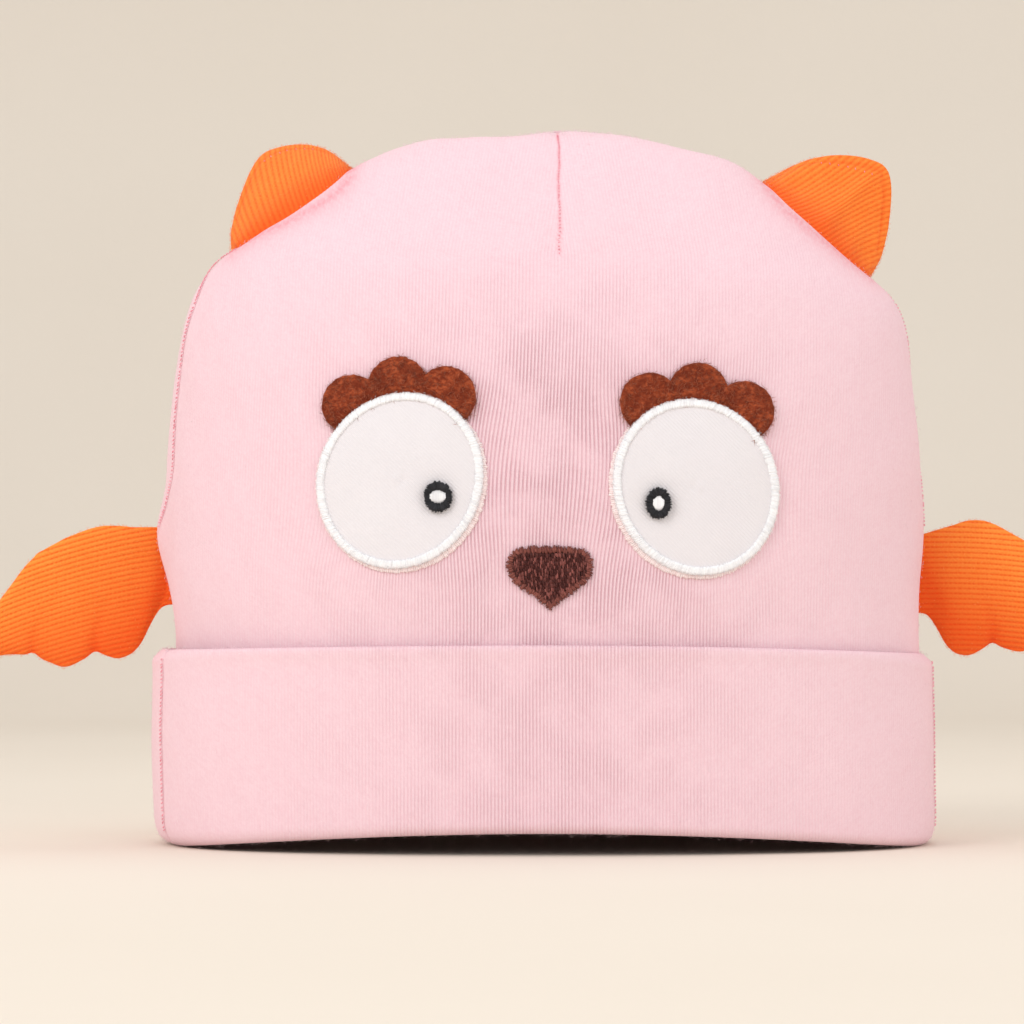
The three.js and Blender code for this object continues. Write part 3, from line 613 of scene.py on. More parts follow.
def eye_knit_material():
    """Smooth white knit with faint slanting lines."""
    shader = Shader("eye_knit_fine", 0.8, 0.25, 0.2)
    vector, u, v = shader.uv()
    slant = shader.math("ADD", u, v)
    lines = shader.math("SINE", shader.times(slant, 2 * math.pi / 0.8))
    cross = shader.math("SINE", shader.times(shader.math("SUBTRACT", u, v), 9.0))
    height = shader.math("MULTIPLY_ADD", cross, 0.35, lines)
    height = shader.math("MULTIPLY_ADD", shader.noise(vector, 2.5, 2.0), 0.8, height)
    tone = shader.mix(shader.noise(vector, 0.12, 3.0), rgb(228, 223, 226), rgb(233, 228, 231))
    faint = shader.math("MULTIPLY_ADD", lines, 0.03, 0.03)
    tone = shader.mix(faint, tone, rgb(216, 202, 200))
    return shader.finish(tone, height, 0.025)


def felt_material():
    """Pressed brown fibres with lighter and darker strands."""
    shader = Shader("felt_brown", 0.95, 0.15, 0.3, (0.8, 0.4, 0.25))
    place = shader.place()
    strands = shader.noise(shader.stretch(place, (1.0, 0.3, 1.6)), 1.1, 5.0, 0.75)
    blotch = shader.noise(place, 0.45, 4.0, 0.6)
    tone = shader.mix(shader.remap(strands, 0.38, 0.62), rgb(122, 46, 24), rgb(176, 84, 50))
    tone = shader.mix(shader.remap(blotch, 0.4, 0.58, 0.0, 0.7), tone, rgb(104, 36, 19))
    return shader.finish(tone, strands, 0.25)


def thread_material(name, dark, light, roughness, specular):
    """Embroidery thread, whose shade changes from strand to strand."""
    shader = Shader(name, roughness, specular, 0.04)
    place = shader.place()
    tone = shader.mix(shader.layer("shade"), dark, light)
    fibres = shader.noise(place, 5.0, 3.0, 0.7)
    tone = shader.mix(shader.remap(fibres, 0.3, 0.7, 0.0, 0.35), tone, dark)
    return shader.finish(tone, fibres, 0.05)


JERSEY = jersey_material("jersey_fine")
# The ears' copy of the rib knit is painted darker than the wings', to offset the extra light that the
# upturned ears catch.
RIB_EAR_PAINTED_DARKER = rib_material("rib_knit_ear_painted_darker", EAR_RIB, rgb(250, 130, 44), rgb(255, 148, 62), 0.85, 0.6)
RIB_WING = rib_material("rib_knit_wing", WING_RIB, rgb(254, 150, 58), rgb(255, 162, 70), 0.7, 0.72)
EYE_KNIT = eye_knit_material()
FELT = felt_material()
WHITE = thread_material("thread_white", rgb(238, 237, 240), rgb(254, 254, 255), 0.5, 0.4)
BLACK = thread_material("thread_black", rgb(12, 12, 14), rgb(50, 50, 56), 0.5, 0.3)
# The light end of the dark thread is used for painted glints on the beak's fill.
DARK = thread_material("thread_dark", rgb(66, 22, 17), rgb(164, 96, 88), 0.4, 0.25)
BROWN = thread_material("thread_brown", rgb(92, 40, 34), rgb(158, 92, 80), 0.45, 0.3)
PINK = thread_material("thread_pink", rgb(236, 146, 162), rgb(247, 184, 195), 0.6, 0.3)
BEIGE = thread_material("cut_edge", rgb(244, 222, 221), rgb(253, 241, 240), 0.8, 0.2)
FIBRE_FELT = thread_material("fibre_felt", rgb(104, 40, 22), rgb(206, 128, 96), 0.8, 0.2)
FIBRE_ORANGE = thread_material("fibre_orange", rgb(250, 130, 54), rgb(255, 182, 112), 0.8, 0.2)
FIBRE_PINK = thread_material("fibre_pink", rgb(242, 206, 214), rgb(253, 240, 242), 0.8, 0.2)

# The knitted body: one sheet from the crown's top over the outside, down behind the cuff, round the
# cuff and back up inside


def middle_share(across):
    return np.maximum(0, 1 - (across / RIM_FLAT) ** 2)


def rim_height(across, back):
    return middle_share(across) * np.where(back < 0, RIM_ARCH["front"], RIM_ARCH["back"])


def cuff_out(z, angle, top):
    """How far the cuff's inner face stands off the crown, with soft corners at the sides."""
    across, back = plan_direction(angle)
    side = np.where(across < 0, CUFF_AIR["left"], CUFF_AIR["right"])
    middle = np.where(back < 0, CUFF_AIR["front"], CUFF_AIR["back"])
    upper = middle + (side - middle) * across**2
    share = np.clip(z / top, 0, 1)
    corner = np.abs(across) ** 12
    drawn_in = 2.0 * corner * smoothstep(z, top - 3.5, top) ** 2
    return CUFF_FOLD_AIR + (upper - CUFF_FOLD_AIR) * share - drawn_in


def rim_inset(z, angle):
    """The rim's lower corners are rounded off."""
    across, _ = plan_direction(angle)
    size = np.where(across < 0, 3.6, 1.6) * np.abs(across) ** 8
    return size * (1 - np.sqrt(1 - np.clip(1 - z / 5.5, 0, 1) ** 2))


def body_row(kind, value, angle):
    """One row of the sheet: a kind of stretch, how far along it, and the columns' angles."""
    across, back = plan_direction(angle)
    rim = rim_height(across, back)
    fold_top = rim + FOLD_DROP
    side_top, crest = np.where(across < 0, 0.75, -0.05), np.where(across < 0, 1.2, 2.0)
    top = CUFF_HEIGHT + side_top + crest * middle_share(across)
    if kind in ("outside", "inside"):
        lift = 0.0 if kind == "outside" else -WALL
        if value >= TOP - 1e-9:
            point = np.broadcast_to(crown_point(TOP, 1.5 * np.pi, lift), (len(angle), 3)).copy()
        else:
            point = crown_point(np.full(len(angle), value), angle, lift)
        z = point[:, 2]
        point[:, 2] = z + fold_top * np.maximum(0, 1 - z / CUFF_HEIGHT)
        inset = rim_inset(point[:, 2], angle)
        point[:, 0] -= across * inset
        point[:, 1] -= back * inset
        return point
    if kind == "fold_inside":
        out = FOLD_RADIUS * (1 - np.cos(value * np.pi))
        z = fold_top - FOLD_RADIUS * math.sin(value * np.pi)
        place = np.zeros(len(angle))
    elif kind == "cuff_inside":
        z = fold_top + (top - EDGE_BEND - fold_top) * value
        out = cuff_out(z, angle, top)
        place = place_at(z)
    elif kind == "cuff_edge":
        z = top - EDGE_BEND + EDGE_BEND * math.sin(value * np.pi)
        out = cuff_out(z, angle, top) + WALL / 2 * (1 - math.cos(value * np.pi))
        place = place_at(z)
    elif kind == "cuff":
        z = top - EDGE_BEND + (fold_top - top + EDGE_BEND) * value
        out = cuff_out(z, angle, top) + WALL
        place = place_at(z)
    else:
        turn = value * np.pi
        radius = FOLD_RADIUS + WALL
        z = np.maximum(fold_top - radius * math.sin(turn), rim)
        out = FOLD_RADIUS + radius * math.cos(turn)
        place = np.zeros(len(angle))
    point = plain_crown(place, angle, out - rim_inset(z, angle))
    point[:, 2] = z
    if kind in ("cuff", "cuff_edge"):
        away = unit(point * [1 / CROWN_HALF_WIDTH**2, 1 / CROWN_HALF_DEPTH**2, 0])
        hem = 0.22 * bell(top - z - 1.2, 1.4)
        wave = 0.45 * ripple(point * [0.8, 0.8, 1.1]) * smoothstep(z, rim, rim + 6)
        point = point + away * (wave * smoothstep(top - z, 0, 3) + hem)[:, None]
    return point


def body_rows():
    """The rows of the sheet, close together where they show."""
    places = [TOP, TOP - 0.02]
    while places[-1] > place_at(CUFF_HEIGHT - 3):
        here = plain_crown(places[-1], 1.5 * np.pi)
        step = 0.02
        ahead = np.linalg.norm(plain_crown(places[-1] - step, 1.5 * np.pi) - here)
        places.append(places[-1] - step * 1.15 / ahead)
    low = np.linspace(places[-1], 0, 6)[1:]
    rows = [("outside", p) for p in [*places, *low]]
    rows += [("fold_inside", t) for t in (0.33, 0.67, 1.0)]
    rows += [("cuff_inside", t) for t in (0.2, 0.5, 0.8, 0.93)]
    rows += [("cuff_edge", t) for t in np.linspace(0, 1, 9)]
    rows += [("cuff", t) for t in np.linspace(0, 1, 46)[1:]]
    rows += [("fold", t) for t in np.linspace(0, 1, 15)[1:]]
    rows += [("inside", p) for p in np.linspace(0, TOP - 0.05, 42)[1:]]
    rows.append(("inside", TOP))
    return rows


def seam_turns(kind, value):
    """How far the side seams lie in front of the widest line: left and right, as angles."""
    if kind in ("outside", "inside"):
        z = float(section_at(value)[0])
        left = 0.24 * float(smoothstep(z, 60, 80) * (1 - smoothstep(z, 112, 134)))
        left += 0.3 * float(1 - smoothstep(z, 8, 34))
        right = 0.03 * bell(z - 105, 12) + 0.12 * float(1 - smoothstep(z, 8, 34))
        return left, right
    return 0.3, 0.14


def column_shares(is_front):
    """Places across a panel, from seam to seam, closer together at the seams and beside the dart."""
    shares = list(np.linspace(0, 1, 231 if is_front else 121))
    shares += [end + side * t for end, side in ((0, 1), (1, -1)) for t in (0.0006, 0.0014, 0.0028)]
    if is_front:
        shares += list(0.5 + np.linspace(-0.03, 0.03, 42))
    return np.array(sorted(set(round(s, 6) for s in shares)))


def stretch_u(points):
    """Where each point lies across the flat panel, from its middle wale."""
    arc = arc_lengths(points, 1)
    x, _, z = np.moveaxis(points, -1, 0)
    aside = x - middle_at(z)
    u = np.empty_like(arc)
    for row in range(len(points)):
        order = aside[row] if aside[row, -1] > aside[row, 0] else -aside[row]
        centre = np.interp(0, order, arc[row]) if np.ptp(order) > 0 else 0
        u[row] = arc[row] - centre
        if aside[row, -1] < aside[row, 0]:
            u[row] *= -1
    flat = smoothstep(z, 112, 146)
    return u * (1 - flat) + aside * flat


def body_panel(name, node, is_front):
    rows = body_rows()
    shares = column_shares(is_front)
    grid = []
    for kind, value in rows:
        left, right = seam_turns(kind, value)
        if is_front:
            angle = np.pi + left + (np.pi - left - right) * shares
        else:
            angle = -right + (np.pi + left + right) * shares
        grid.append(body_row(kind, value, angle))
    grid = np.array(grid)
    faces, normals = grid_faces(len(rows), len(shares))[:, ::-1], -grid_normals(grid)
    u = stretch_u(grid)
    v = arc_lengths(grid)
    x, y, z = np.moveaxis(grid, -1, 0)
    from_left = arc_lengths(grid, 1)
    to_seam = np.minimum(from_left, from_left[:, -1:] - from_left)
    outer = np.array([kind != "inside" for kind, _ in rows])[:, None]
    crown = np.array([kind == "outside" for kind, _ in rows])[:, None]
    seam = bell(to_seam, 0.32) * outer * (from_left[:, -1:] > 3)
    # Painted shade along the seam grooves and, on the front, along the dart's fold.
    crease = 0.25 * seam
    if is_front:
        dart = crown * dart_share(grid) * bell(x - dart_line(z), 0.35)
        crease = np.maximum(crease, 0.6 * dart)
        # Painted contact shadow on the crown just below each ear's base.
        for row in EARS:
            base = ear_seam(row, np.linspace(0, 1, 40), -row["bow"] - 3)
            gap = grid[:, :, None, ::2] - base[:, ::2]
            near = np.min(np.linalg.norm(gap, axis=3), axis=2)
            crease = np.maximum(crease, 0.72 * np.exp(-near / 1.7) * crown * (z > 110))
        wedge = DART_WEDGE * np.clip((z - CROWN_HEIGHT + DART_LENGTH) / DART_LENGTH, 0, 1)
        u = u + crown * 0.5 * wedge * np.sign(x - dart_line(z))
        for eye in EYES:
            distance, aside = eye_distance(x, z, eye)
            u = u + crown * 1.6 * aside * bell(distance, 7)
    grid = grid - normals * (0.34 * seam)[..., None]
    uv = np.stack([u, v], -1)
    fade = 1 - 0.6 * smoothstep(z, 90, 112) - 0.3 * smoothstep(z, 112, 128)
    ribbed = 0.12 + 0.04 * crown + bell(x - 3, 42) * fade
    ribbed = ribbed + 0.3 * crown * bell(x - 1, 21) * smoothstep(z, 44, 62) * (1 - smoothstep(z, 95, 118))
    if is_front:
        ribbed = ribbed * (1 - 0.95 * crown * dart_share(grid) * bell(x - dart_line(z), 0.7))
        for eye in EYES:
            distance, aside = eye_distance(x, z, eye)
            ribbed = ribbed + 0.5 * crown * bell(distance - 3, 4) * np.maximum(0, -aside * eye["side"])
    ribbed = np.minimum(ribbed, 1.3) * smoothstep(to_seam, 0, 8) * (1 + 0.25 * crown if is_front else 0.35)
    obj = new_object(name, grid, faces, JERSEY, uv=uv, crease=crease, ribbed=ribbed)
    dress(obj, "jersey", node)
    visible = np.broadcast_to(outer & (z > 0.5), z.shape)
    rim = bell(np.abs(normals[..., 1]), 0.3) + 0.8 * bell(z - CUFF_HEIGHT - 1, 1.0) + 0.8 * bell(z - 1, 2.0)
    weight = visible * (rim + 0.05)
    fuzz(f"{name}_fuzz", grid, normals, weight, 3600, (0.4, 1.0), FIBRE_PINK, "jersey", 91, 0.7, 0.035)
    if is_front:
        dart_z = np.linspace(CROWN_HEIGHT - 1.5, CROWN_HEIGHT - DART_LENGTH, 60)
        line = on_front(dart_line(dart_z), dart_z)
        out = crown_normal(place_at(dart_z), np.full(60, -np.pi / 2))
        stitches("dart_stitches", line, out, 0.9, 0.55, 0.09, 0.16, "jersey", 96)
        kinds = np.array([kind for kind, _ in rows])
        for side, column in (("left", 0), ("right", -1)):
            for kind, low, high in (("outside", 66, 126), ("cuff", 3, 39.5)):
                chosen = (kinds == kind) & (z[:, column] > low) & (z[:, column] < high)
                line, out = grid[chosen, column], normals[chosen, column]
                stitches(f"seam_{side}_{kind}_stitches", line, out, 0.8, 1.1, 0.15, 0.66, "jersey", 95)


def stitches(name, line, out, pitch, length, radius, lift, slot, seed):
    """Short slanting pink threads across a seam's line."""
    rng = np.random.default_rng(seed)
    arc = arc_lengths(line)
    wanted = np.arange(pitch / 2, arc[-1], pitch)
    wanted = wanted + rng.uniform(-0.15, 0.15, len(wanted))
    at = np.stack([np.interp(wanted, arc, line[:, k]) for k in range(3)], -1)
    up = unit(np.stack([np.interp(wanted, arc, out[:, k]) for k in range(3)], -1))
    along = unit(np.gradient(at, axis=0))
    aside = np.cross(along, up)
    slant = rng.uniform(0.3, 0.9, (len(at), 1))
    reach = unit(aside + slant * along) * length * rng.uniform(0.7, 1.1, (len(at), 1))
    f = np.linspace(-0.5, 0.5, 5)[:, None]
    paths = at[:, None] + reach[:, None] * f + up[:, None] * (lift - 0.9 * f**2)
    shade = rng.uniform(0, 1, len(at))
    facing = np.broadcast_to(up[:, None], paths.shape)
    dress(tubes(name, paths, radius, PINK, facing, sides=5, shade=shade), slot)


# Padded ears and wings


def ear_seam(row, share, reach):
    """The line where an ear is sewn to the crown, at shares of its length, swung back by reach."""
    angle = 0.0 if row["side"] > 0 else np.pi
    heights = CROWN_HEIGHT * (row["inner"] + (row["outer"] - row["inner"]) * share)
    places = place_at(heights)
    bow = np.clip(4 * share * (1 - share), 0, 1) ** 0.5
    turned = signed_power(reach * bow / section_at(places)[3], CROWN_SQUARENESS / 2)
    return crown_point(places, angle + row["side"] * np.arcsin(turned), -0.3)


def ear_grid(row, columns, rows):
    """The bag of an ear: from the seam up the back, over the edge and down the front."""
    side = row["side"]
    angle = 0.0 if side > 0 else np.pi
    heights = np.array([row["inner"], row["outer"]]) * CROWN_HEIGHT
    start, end = plain_crown(place_at(heights), np.full(2, angle))
    along = unit(end - start)
    length = np.linalg.norm(end - start)
    upright = np.array([-side * along[2], 0, side * along[0]])
    lean = math.radians(row["lean"])
    out = upright * math.cos(lean) + np.array([0, math.sin(lean), 0])
    through = unit(np.cross(along, out)) * side
    share = np.linspace(0, 1, columns)
    high = row["height"] * read_table(EAR_OUTLINE, share, 1)
    chord = start + along * (share * length)[:, None]
    tip = chord + out * high[:, None] + along * (row["skew"] * high)[:, None]
    levels = np.linspace(-1, 1, 2 * rows + 1)
    up = 1 - np.abs(levels)
    back_seam, front_seam = ear_seam(row, share, 2.5), ear_seam(row, share, -row["bow"])
    seam = np.where((levels < 0)[:, None, None], back_seam, front_seam)
    grid = seam + (tip - seam) * up[:, None, None]
    ends = np.clip(4 * share * (1 - share), 0, 1) ** 0.35
    profile = np.sqrt(np.clip(1 - up**2, 0, 1)) * smoothstep(up, 0, 0.18)
    thick = np.sign(levels)[:, None] * profile[:, None] * ends * EAR_THICKNESS / 2
    shown = 0.4
    grid = grid + through * (thick * shown)[..., None]
    stretch = up[:, None] * np.maximum(high, 1)
    fan = row["fan"] * stretch / row["height"] * (share - 0.3)
    across = length * (share - fan) - row["slant"] * stretch
    return grid, np.stack([across, stretch], -1)


def even_out(field, held, wrap, times):
    """Softens a grid of shifts, apart from its held places."""
    for _ in range(times):
        if wrap:
            rows = (np.roll(field, 1, 0) + np.roll(field, -1, 0)) / 2
        else:
            rows = np.concatenate([field[:1], (field[2:] + field[:-2]) / 2, field[-1:]])
        columns = np.concatenate([field[:, :1], (field[:, 2:] + field[:, :-2]) / 2, field[:, -1:]], 1)
        field = np.where(held[..., None], field, 0.5 * field + 0.25 * (rows + columns))
    return field


def padded_piece(name, node, grid, uv, material, held, cap, rib, size, wrap, slot, shape):
    """Blows a bag up, draws it again finely and lays the ribs on it."""
    rows, columns = grid.shape[:2]
    faces = grid_faces(rows, columns, wrap_rows=wrap)
    blown = inflate(grid.reshape(-1, 3), faces, held.ravel(), 4.5, cap, 2.0)
    grid = grid + even_out(blown.reshape(grid.shape) - grid, held, wrap, 6)
    fine = refine(grid, *size, wrap_rows=wrap)
    fine_uv = refine(uv, *size, wrap_rows=wrap)
    outwards = fine - fine.reshape(-1, 3).mean(0)
    faces, normals = face_out(grid_faces(*size, wrap_rows=wrap), grid_normals(fine, wrap), outwards)
    crest = np.abs((fine_uv[..., 0] / rib) % 1.0 - 0.5) * 2
    # The shape gives the extra displacement, the painted shade and where the ribs show.
    extra, crease, inner = shape(size)
    ribs = -0.1 * (1 - smoothstep(1 - crest, 0, 0.75)) * inner + extra
    fine = fine + normals * ribs[..., None]
    obj = new_object(name, fine, faces, material, uv=fine_uv, crease=crease)
    dress(obj, slot, node)
    edges = 0.04 + bell(normals[..., 1], 0.3)
    fuzz(f"{node}_fuzz", fine, normals, edges, 1700, (0.3, 0.9), FIBRE_ORANGE, slot, 7, 0.6, 0.03)
    return fine, normals


def make_ear(row):
    rows, columns = 9, 30
    grid, uv = ear_grid(row, columns, rows)
    held = np.zeros(grid.shape[:2], bool)
    held[[0, -1, rows]] = True
    held[:, [0, -1]] = True

    def edge_seam_and_painted_shade(size):
        level = np.abs(np.linspace(-1, 1, size[0]))[:, None]
        share = np.linspace(0, 1, size[1])[None]
        high = row["height"] * read_table(EAR_OUTLINE, share, 1)
        line = bell(level * high - 1.6, 0.28) * smoothstep(high, 5, 9)
        # Painted shade towards the ear's base on its front and along the edge seam's line, which is also
        # pressed in.
        base = smoothstep(np.linspace(-1, 1, size[0])[:, None], 0.4, 1.0) ** 1.5
        return -0.2 * line, 0.3 * line + 0.6 * base, smoothstep(level * high, 0.1, 0.9)

    fine, normals = padded_piece(
        row["name"] + "_pad", row["name"], grid, uv, RIB_EAR_PAINTED_DARKER, held, 2.6, EAR_RIB,
        (96, 220), False, "rib_knit", edge_seam_and_painted_shade,
    )
    line, out = fine[54, 40:130], normals[54, 40:130]
    stitches(f"{row['name']}_stitches", line, out, 1.9, 0.5, 0.09, 0.2, "rib_knit", 97)


def wing_grid(row, columns, rows):
    """The bag of a wing: along the lower edge, up the front, over the top edge and down the back."""
    side = row["side"]
    highest = row["up"]
    place = place_at(highest - 0.3 * WING_HEIGHT)
    root = plain_crown(place, 0.0 if side > 0 else np.pi)
    share = np.linspace(-0.045, 1, columns)
    inside = np.maximum(share, 0)
    reach = share * WING_LENGTH
    lift_top, lift_low = np.outer(row["lift"], np.maximum(reach, 0))
    droop = row["droop"] * smoothstep(inside, 0.18, 0.62) * (1 - smoothstep(inside, 0.62, 1))
    top = WING_HEIGHT * (read_table(WING_SECTIONS, inside, 1) + droop) - lift_top
    low = WING_HEIGHT * read_table(WING_SECTIONS, inside, 2) - lift_low
    turn = np.linspace(0, 2 * np.pi, 2 * rows, endpoint=False)
    height = (0.5 - 0.5 * np.cos(turn))[:, None]
    sign = np.sign(np.round(np.sin(turn), 9))[:, None]
    depth = low + (top - low) * height
    taper = np.sqrt(np.clip(1 - inside**4, 0, 1)) * (0.3 + 0.7 * smoothstep(share, -0.03, 0.16))
    fullness = np.sqrt(np.clip(4 * height * (1 - height), 0, 1))
    shown = 0.55
    y = -sign * fullness * taper * WING_THICKNESS / 2 * shown
    x = root[0] + side * reach + 0 * depth
    z = highest - depth
    grid = np.stack([x, y, z], -1)
    first, more = row["slope"]
    drop = WING_LENGTH * (first * inside + more * inside**2 / 2)
    across = z + drop + 0 * y
    along = np.broadcast_to(reach, across.shape)
    return grid, np.stack([across, along], -1)


def make_wing(row):
    rows, columns = 14, 64
    grid, uv = wing_grid(row, columns, rows)
    held = np.zeros(grid.shape[:2], bool)
    held[[0, rows]] = True
    held[:, :2] = True
    held[:, -1] = True

    def creases(size):
        turn = np.linspace(0, 2 * np.pi, size[0], endpoint=False)[:, None]
        height = 0.5 - 0.5 * np.cos(turn)
        share = np.linspace(-0.045, 1, size[1])[None]
        depth = 0
        for notch in WING_NOTCHES:
            line = notch - 0.1 * height + 0.012 * np.sin(9 * height)
            fade = np.clip(1 - height / 0.6, 0, 1) ** 1.5
            depth = depth + fade * bell(share - line, 0.024)
        # Painted shade: darkest at the root, where the crown shades the wing, darker towards the lower
        # edge, away from the light from above, and in the notch creases.
        root = np.clip(share, 0, 1)
        shade = row["dark"] * np.exp(-root / 0.04)
        shade = shade + row["dim"] * np.exp(-root / 0.3) * (1 - 0.5 * height)
        shade = shade + 0.5 * (1 - height) ** 2
        inner = smoothstep(np.sqrt(np.clip(4 * height * (1 - height), 0, 1)), 0.05, 0.3)
        return -0.65 * depth, np.clip(np.minimum(shade, 0.7) + 0.12 * depth, 0, 1), inner * np.ones(size)

    padded_piece(
        row["name"] + "_pad", row["name"], grid, uv, RIB_WING, held, 2.6, WING_RIB,
        (300, 100), True, "rib_knit", creases,
    )


# Embroidery and the sewn-on face

OUT_FRONT = np.array([0, -1, 0])


def ellipse(half_width, half_height, tilt, count):
    turn = np.linspace(0, 2 * np.pi, count, endpoint=False)
    x, z = half_width * np.cos(turn), half_height * np.sin(turn)
    c, s = math.cos(tilt), math.sin(tilt)
    return np.stack([x * c - z * s, x * s + z * c], -1)


def evenly(outline, pitch):
    """Points at even steps round a closed outline, with their directions along and inwards."""
    closed = np.vstack([outline, outline[:1]])
    arc = arc_lengths(closed)
    count = int(round(arc[-1] / pitch))
    wanted = np.linspace(0, arc[-1], count, endpoint=False)
    points = np.stack([np.interp(wanted, arc, closed[:, k]) for k in (0, 1)], -1)
    along = unit(np.roll(points, -1, 0) - np.roll(points, 1, 0))
    inwards = np.stack([-along[:, 1], along[:, 0]], -1)
    if np.mean(np.sum(inwards * (outline.mean(0) - points), axis=1)) < 0:
        inwards = -inwards
    return points, along, inwards


def satin(name, centre, outline, width, pitch, radius, crest, material, seed, base, ragged, slant=0.3):
    """Threads laid side by side over a band inside an outline."""
    rng = np.random.default_rng(seed)
    points, along, inwards = evenly(outline, pitch)
    count = len(points)
    f = np.linspace(0, 1, 9)
    outer = rng.uniform(-1, 1, (count, 1)) * ragged
    inner = rng.uniform(-1, 1, (count, 1)) * ragged
    width = np.broadcast_to(width, count).reshape(-1, 1)
    reach = outer + (width + inner - outer) * f
    shift = slant * (f - 0.5) + rng.normal(0, 0.02, (count, 1))
    flat = points[:, None] + inwards[:, None] * reach[..., None] + along[:, None] * shift[..., None]
    flat = flat + centre
    arch = np.sqrt(np.clip(1 - (2 * f - 1) ** 4, 0, 1)) * crest
    arch = arch * rng.uniform(0.88, 1.08, (count, 1)) - 0.12
    height = arch + (base(flat[..., 0], flat[..., 1]) if callable(base) else base)
    paths = on_front(flat[..., 0], flat[..., 1], height)
    shade = rng.uniform(0.1, 1.0, count)
    ground = on_front(flat[..., 0], flat[..., 1], height - 0.6 * radius)
    faces = grid_faces(*ground.shape[:2], wrap_rows=True)
    faces, normals = face_out(faces, grid_normals(ground, True), OUT_FRONT)
    under = new_object(f"{name}_ground", ground, faces, material, shade=np.full(ground.shape[:2], 0.4))
    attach(under, "root")
    threads = tubes(name, paths, radius * rng.uniform(0.85, 1.15, count), material, sides=5, shade=shade)
    return threads, ground, normals


def eye_centre(eye):
    return np.array([eye["side"] * eye["aside"], eye["up"]])


def pupil_centre(eye):
    return eye_centre(eye) + [-eye["side"] * PUPIL_INWARDS, -PUPIL_DOWN]


def patch_lift(x, z, eye):
    """Height of an eye's padding above the crown, with the dimple where the pupil is stitched."""
    tilt = math.radians(eye["side"] * EYE_TILT)
    dx, dz = x - eye_centre(eye)[0], z - eye_centre(eye)[1]
    across = dx * math.cos(tilt) + dz * math.sin(tilt)
    up = -dx * math.sin(tilt) + dz * math.cos(tilt)
    trim = 0.5 * EYE_BORDER
    share = np.hypot(across / (EYE_HALF_WIDTH - trim), up / (EYE_HALF_HEIGHT - trim))
    dome = 0.7 + 1.45 * np.clip(1 - share**2.6, 0, 1)
    px, pz = pupil_centre(eye)
    dimple = 0.75 * bell(np.hypot(x - px, z - pz), 3.6)
    return dome - dimple


def make_eye_patch(eye):
    rings, segments = 34, 128
    tilt = math.radians(eye["side"] * EYE_TILT)
    trim = 0.5 * EYE_BORDER
    edge = ellipse(EYE_HALF_WIDTH - trim, EYE_HALF_HEIGHT - trim, tilt, segments)
    share = np.linspace(0, 1, rings)
    flat = eye_centre(eye) + edge[None] * share[:, None, None]
    x, z = flat[..., 0], flat[..., 1]
    front = on_front(x, z, 0.7)
    held = np.zeros((rings, segments), bool)
    held[-1] = True
    points = front[1:].reshape(-1, 3)
    centre = front[0, 0]
    around = np.arange(segments)
    fan = np.stack([np.full(segments, len(points)), np.roll(around, -1), around], -1)
    ring_faces = grid_faces(rings - 1, segments, wrap_columns=True)
    bag_points = np.vstack([points, centre])
    bag_faces = [list(map(int, f)) for f in ring_faces] + [list(map(int, f)) for f in fan]
    facing = np.cross(points[1] - points[0], points[segments] - points[0])
    if facing[1] > 0:
        bag_faces = [f[::-1] for f in bag_faces]
    pins = np.append(held[1:].ravel(), False)
    blown = inflate(bag_points, bag_faces, pins, 3.0, 1.45, 1.0)
    front[1:] = blown[:-1].reshape(rings - 1, segments, 3)
    front[0] = blown[-1]
    front[0:3] = front[3].mean(0) + (front[0:3] - front[3].mean(0)) * [1, 0, 1]
    px, pz = pupil_centre(eye)
    dimple = 0.75 * bell(np.hypot(x - px, z - pz), 3.6)
    front[..., 1] += dimple
    back = on_front(x[::-4], z[::-4], 0.1)
    points = np.vstack([front.reshape(-1, 3), back.reshape(-1, 3)])
    rows = rings + len(back)
    faces = grid_faces(rows, segments, wrap_columns=True)
    faces, _ = face_out(faces, grid_normals(front), OUT_FRONT)
    uv = np.stack([points[:, 0], points[:, 2]], -1)
    obj = new_object(f"eye_{eye['name']}_knit", points, faces, EYE_KNIT, uv=uv)
    dress(obj, "eye_knit", f"eye_patch_{eye['name']}")


def make_eye_border(eye, seed):
    tilt = math.radians(eye["side"] * EYE_TILT)
    outline = ellipse(EYE_HALF_WIDTH, EYE_HALF_HEIGHT, tilt, 360)
    centre = eye_centre(eye)
    name = eye["name"]
    band, ground, normals = satin(
        f"eye_{name}_satin", centre, outline, 1.8, 0.2, 0.145, 0.8, WHITE, seed, 0.42, 0.12
    )
    dress(band, "white_thread", f"eye_border_{name}")
    edges = np.broadcast_to([1.0, 1.0, 0.5, 0.2, 0.1, 0.1, 0.2, 0.3, 0.1], ground.shape[:2])
    fuzz(
        f"eye_{name}_fuzz", ground, normals, edges, 1300, (0.3, 0.8), WHITE, "white_thread",
        seed + 3, 0.5, 0.045,
    )
    nose = math.radians(-90 - 45 * eye["side"])

    def lip(points):
        facing = np.cos(np.arctan2(points[:, 1], points[:, 0]) - nose)
        return 0.3 + 0.75 * np.clip(facing, 0, 1)

    outer = outline + unit(outline) * lip(outline)[:, None]
    width = 0.5 + lip(evenly(outer, 0.4)[0])
    fringe, _, _ = satin(
        f"eye_{name}_cut_edge", centre, outer, width, 0.4, 0.21, 0.3, BEIGE, seed + 2, 0.16, 0.16, 0.1
    )
    dress(fringe, "eye_knit")


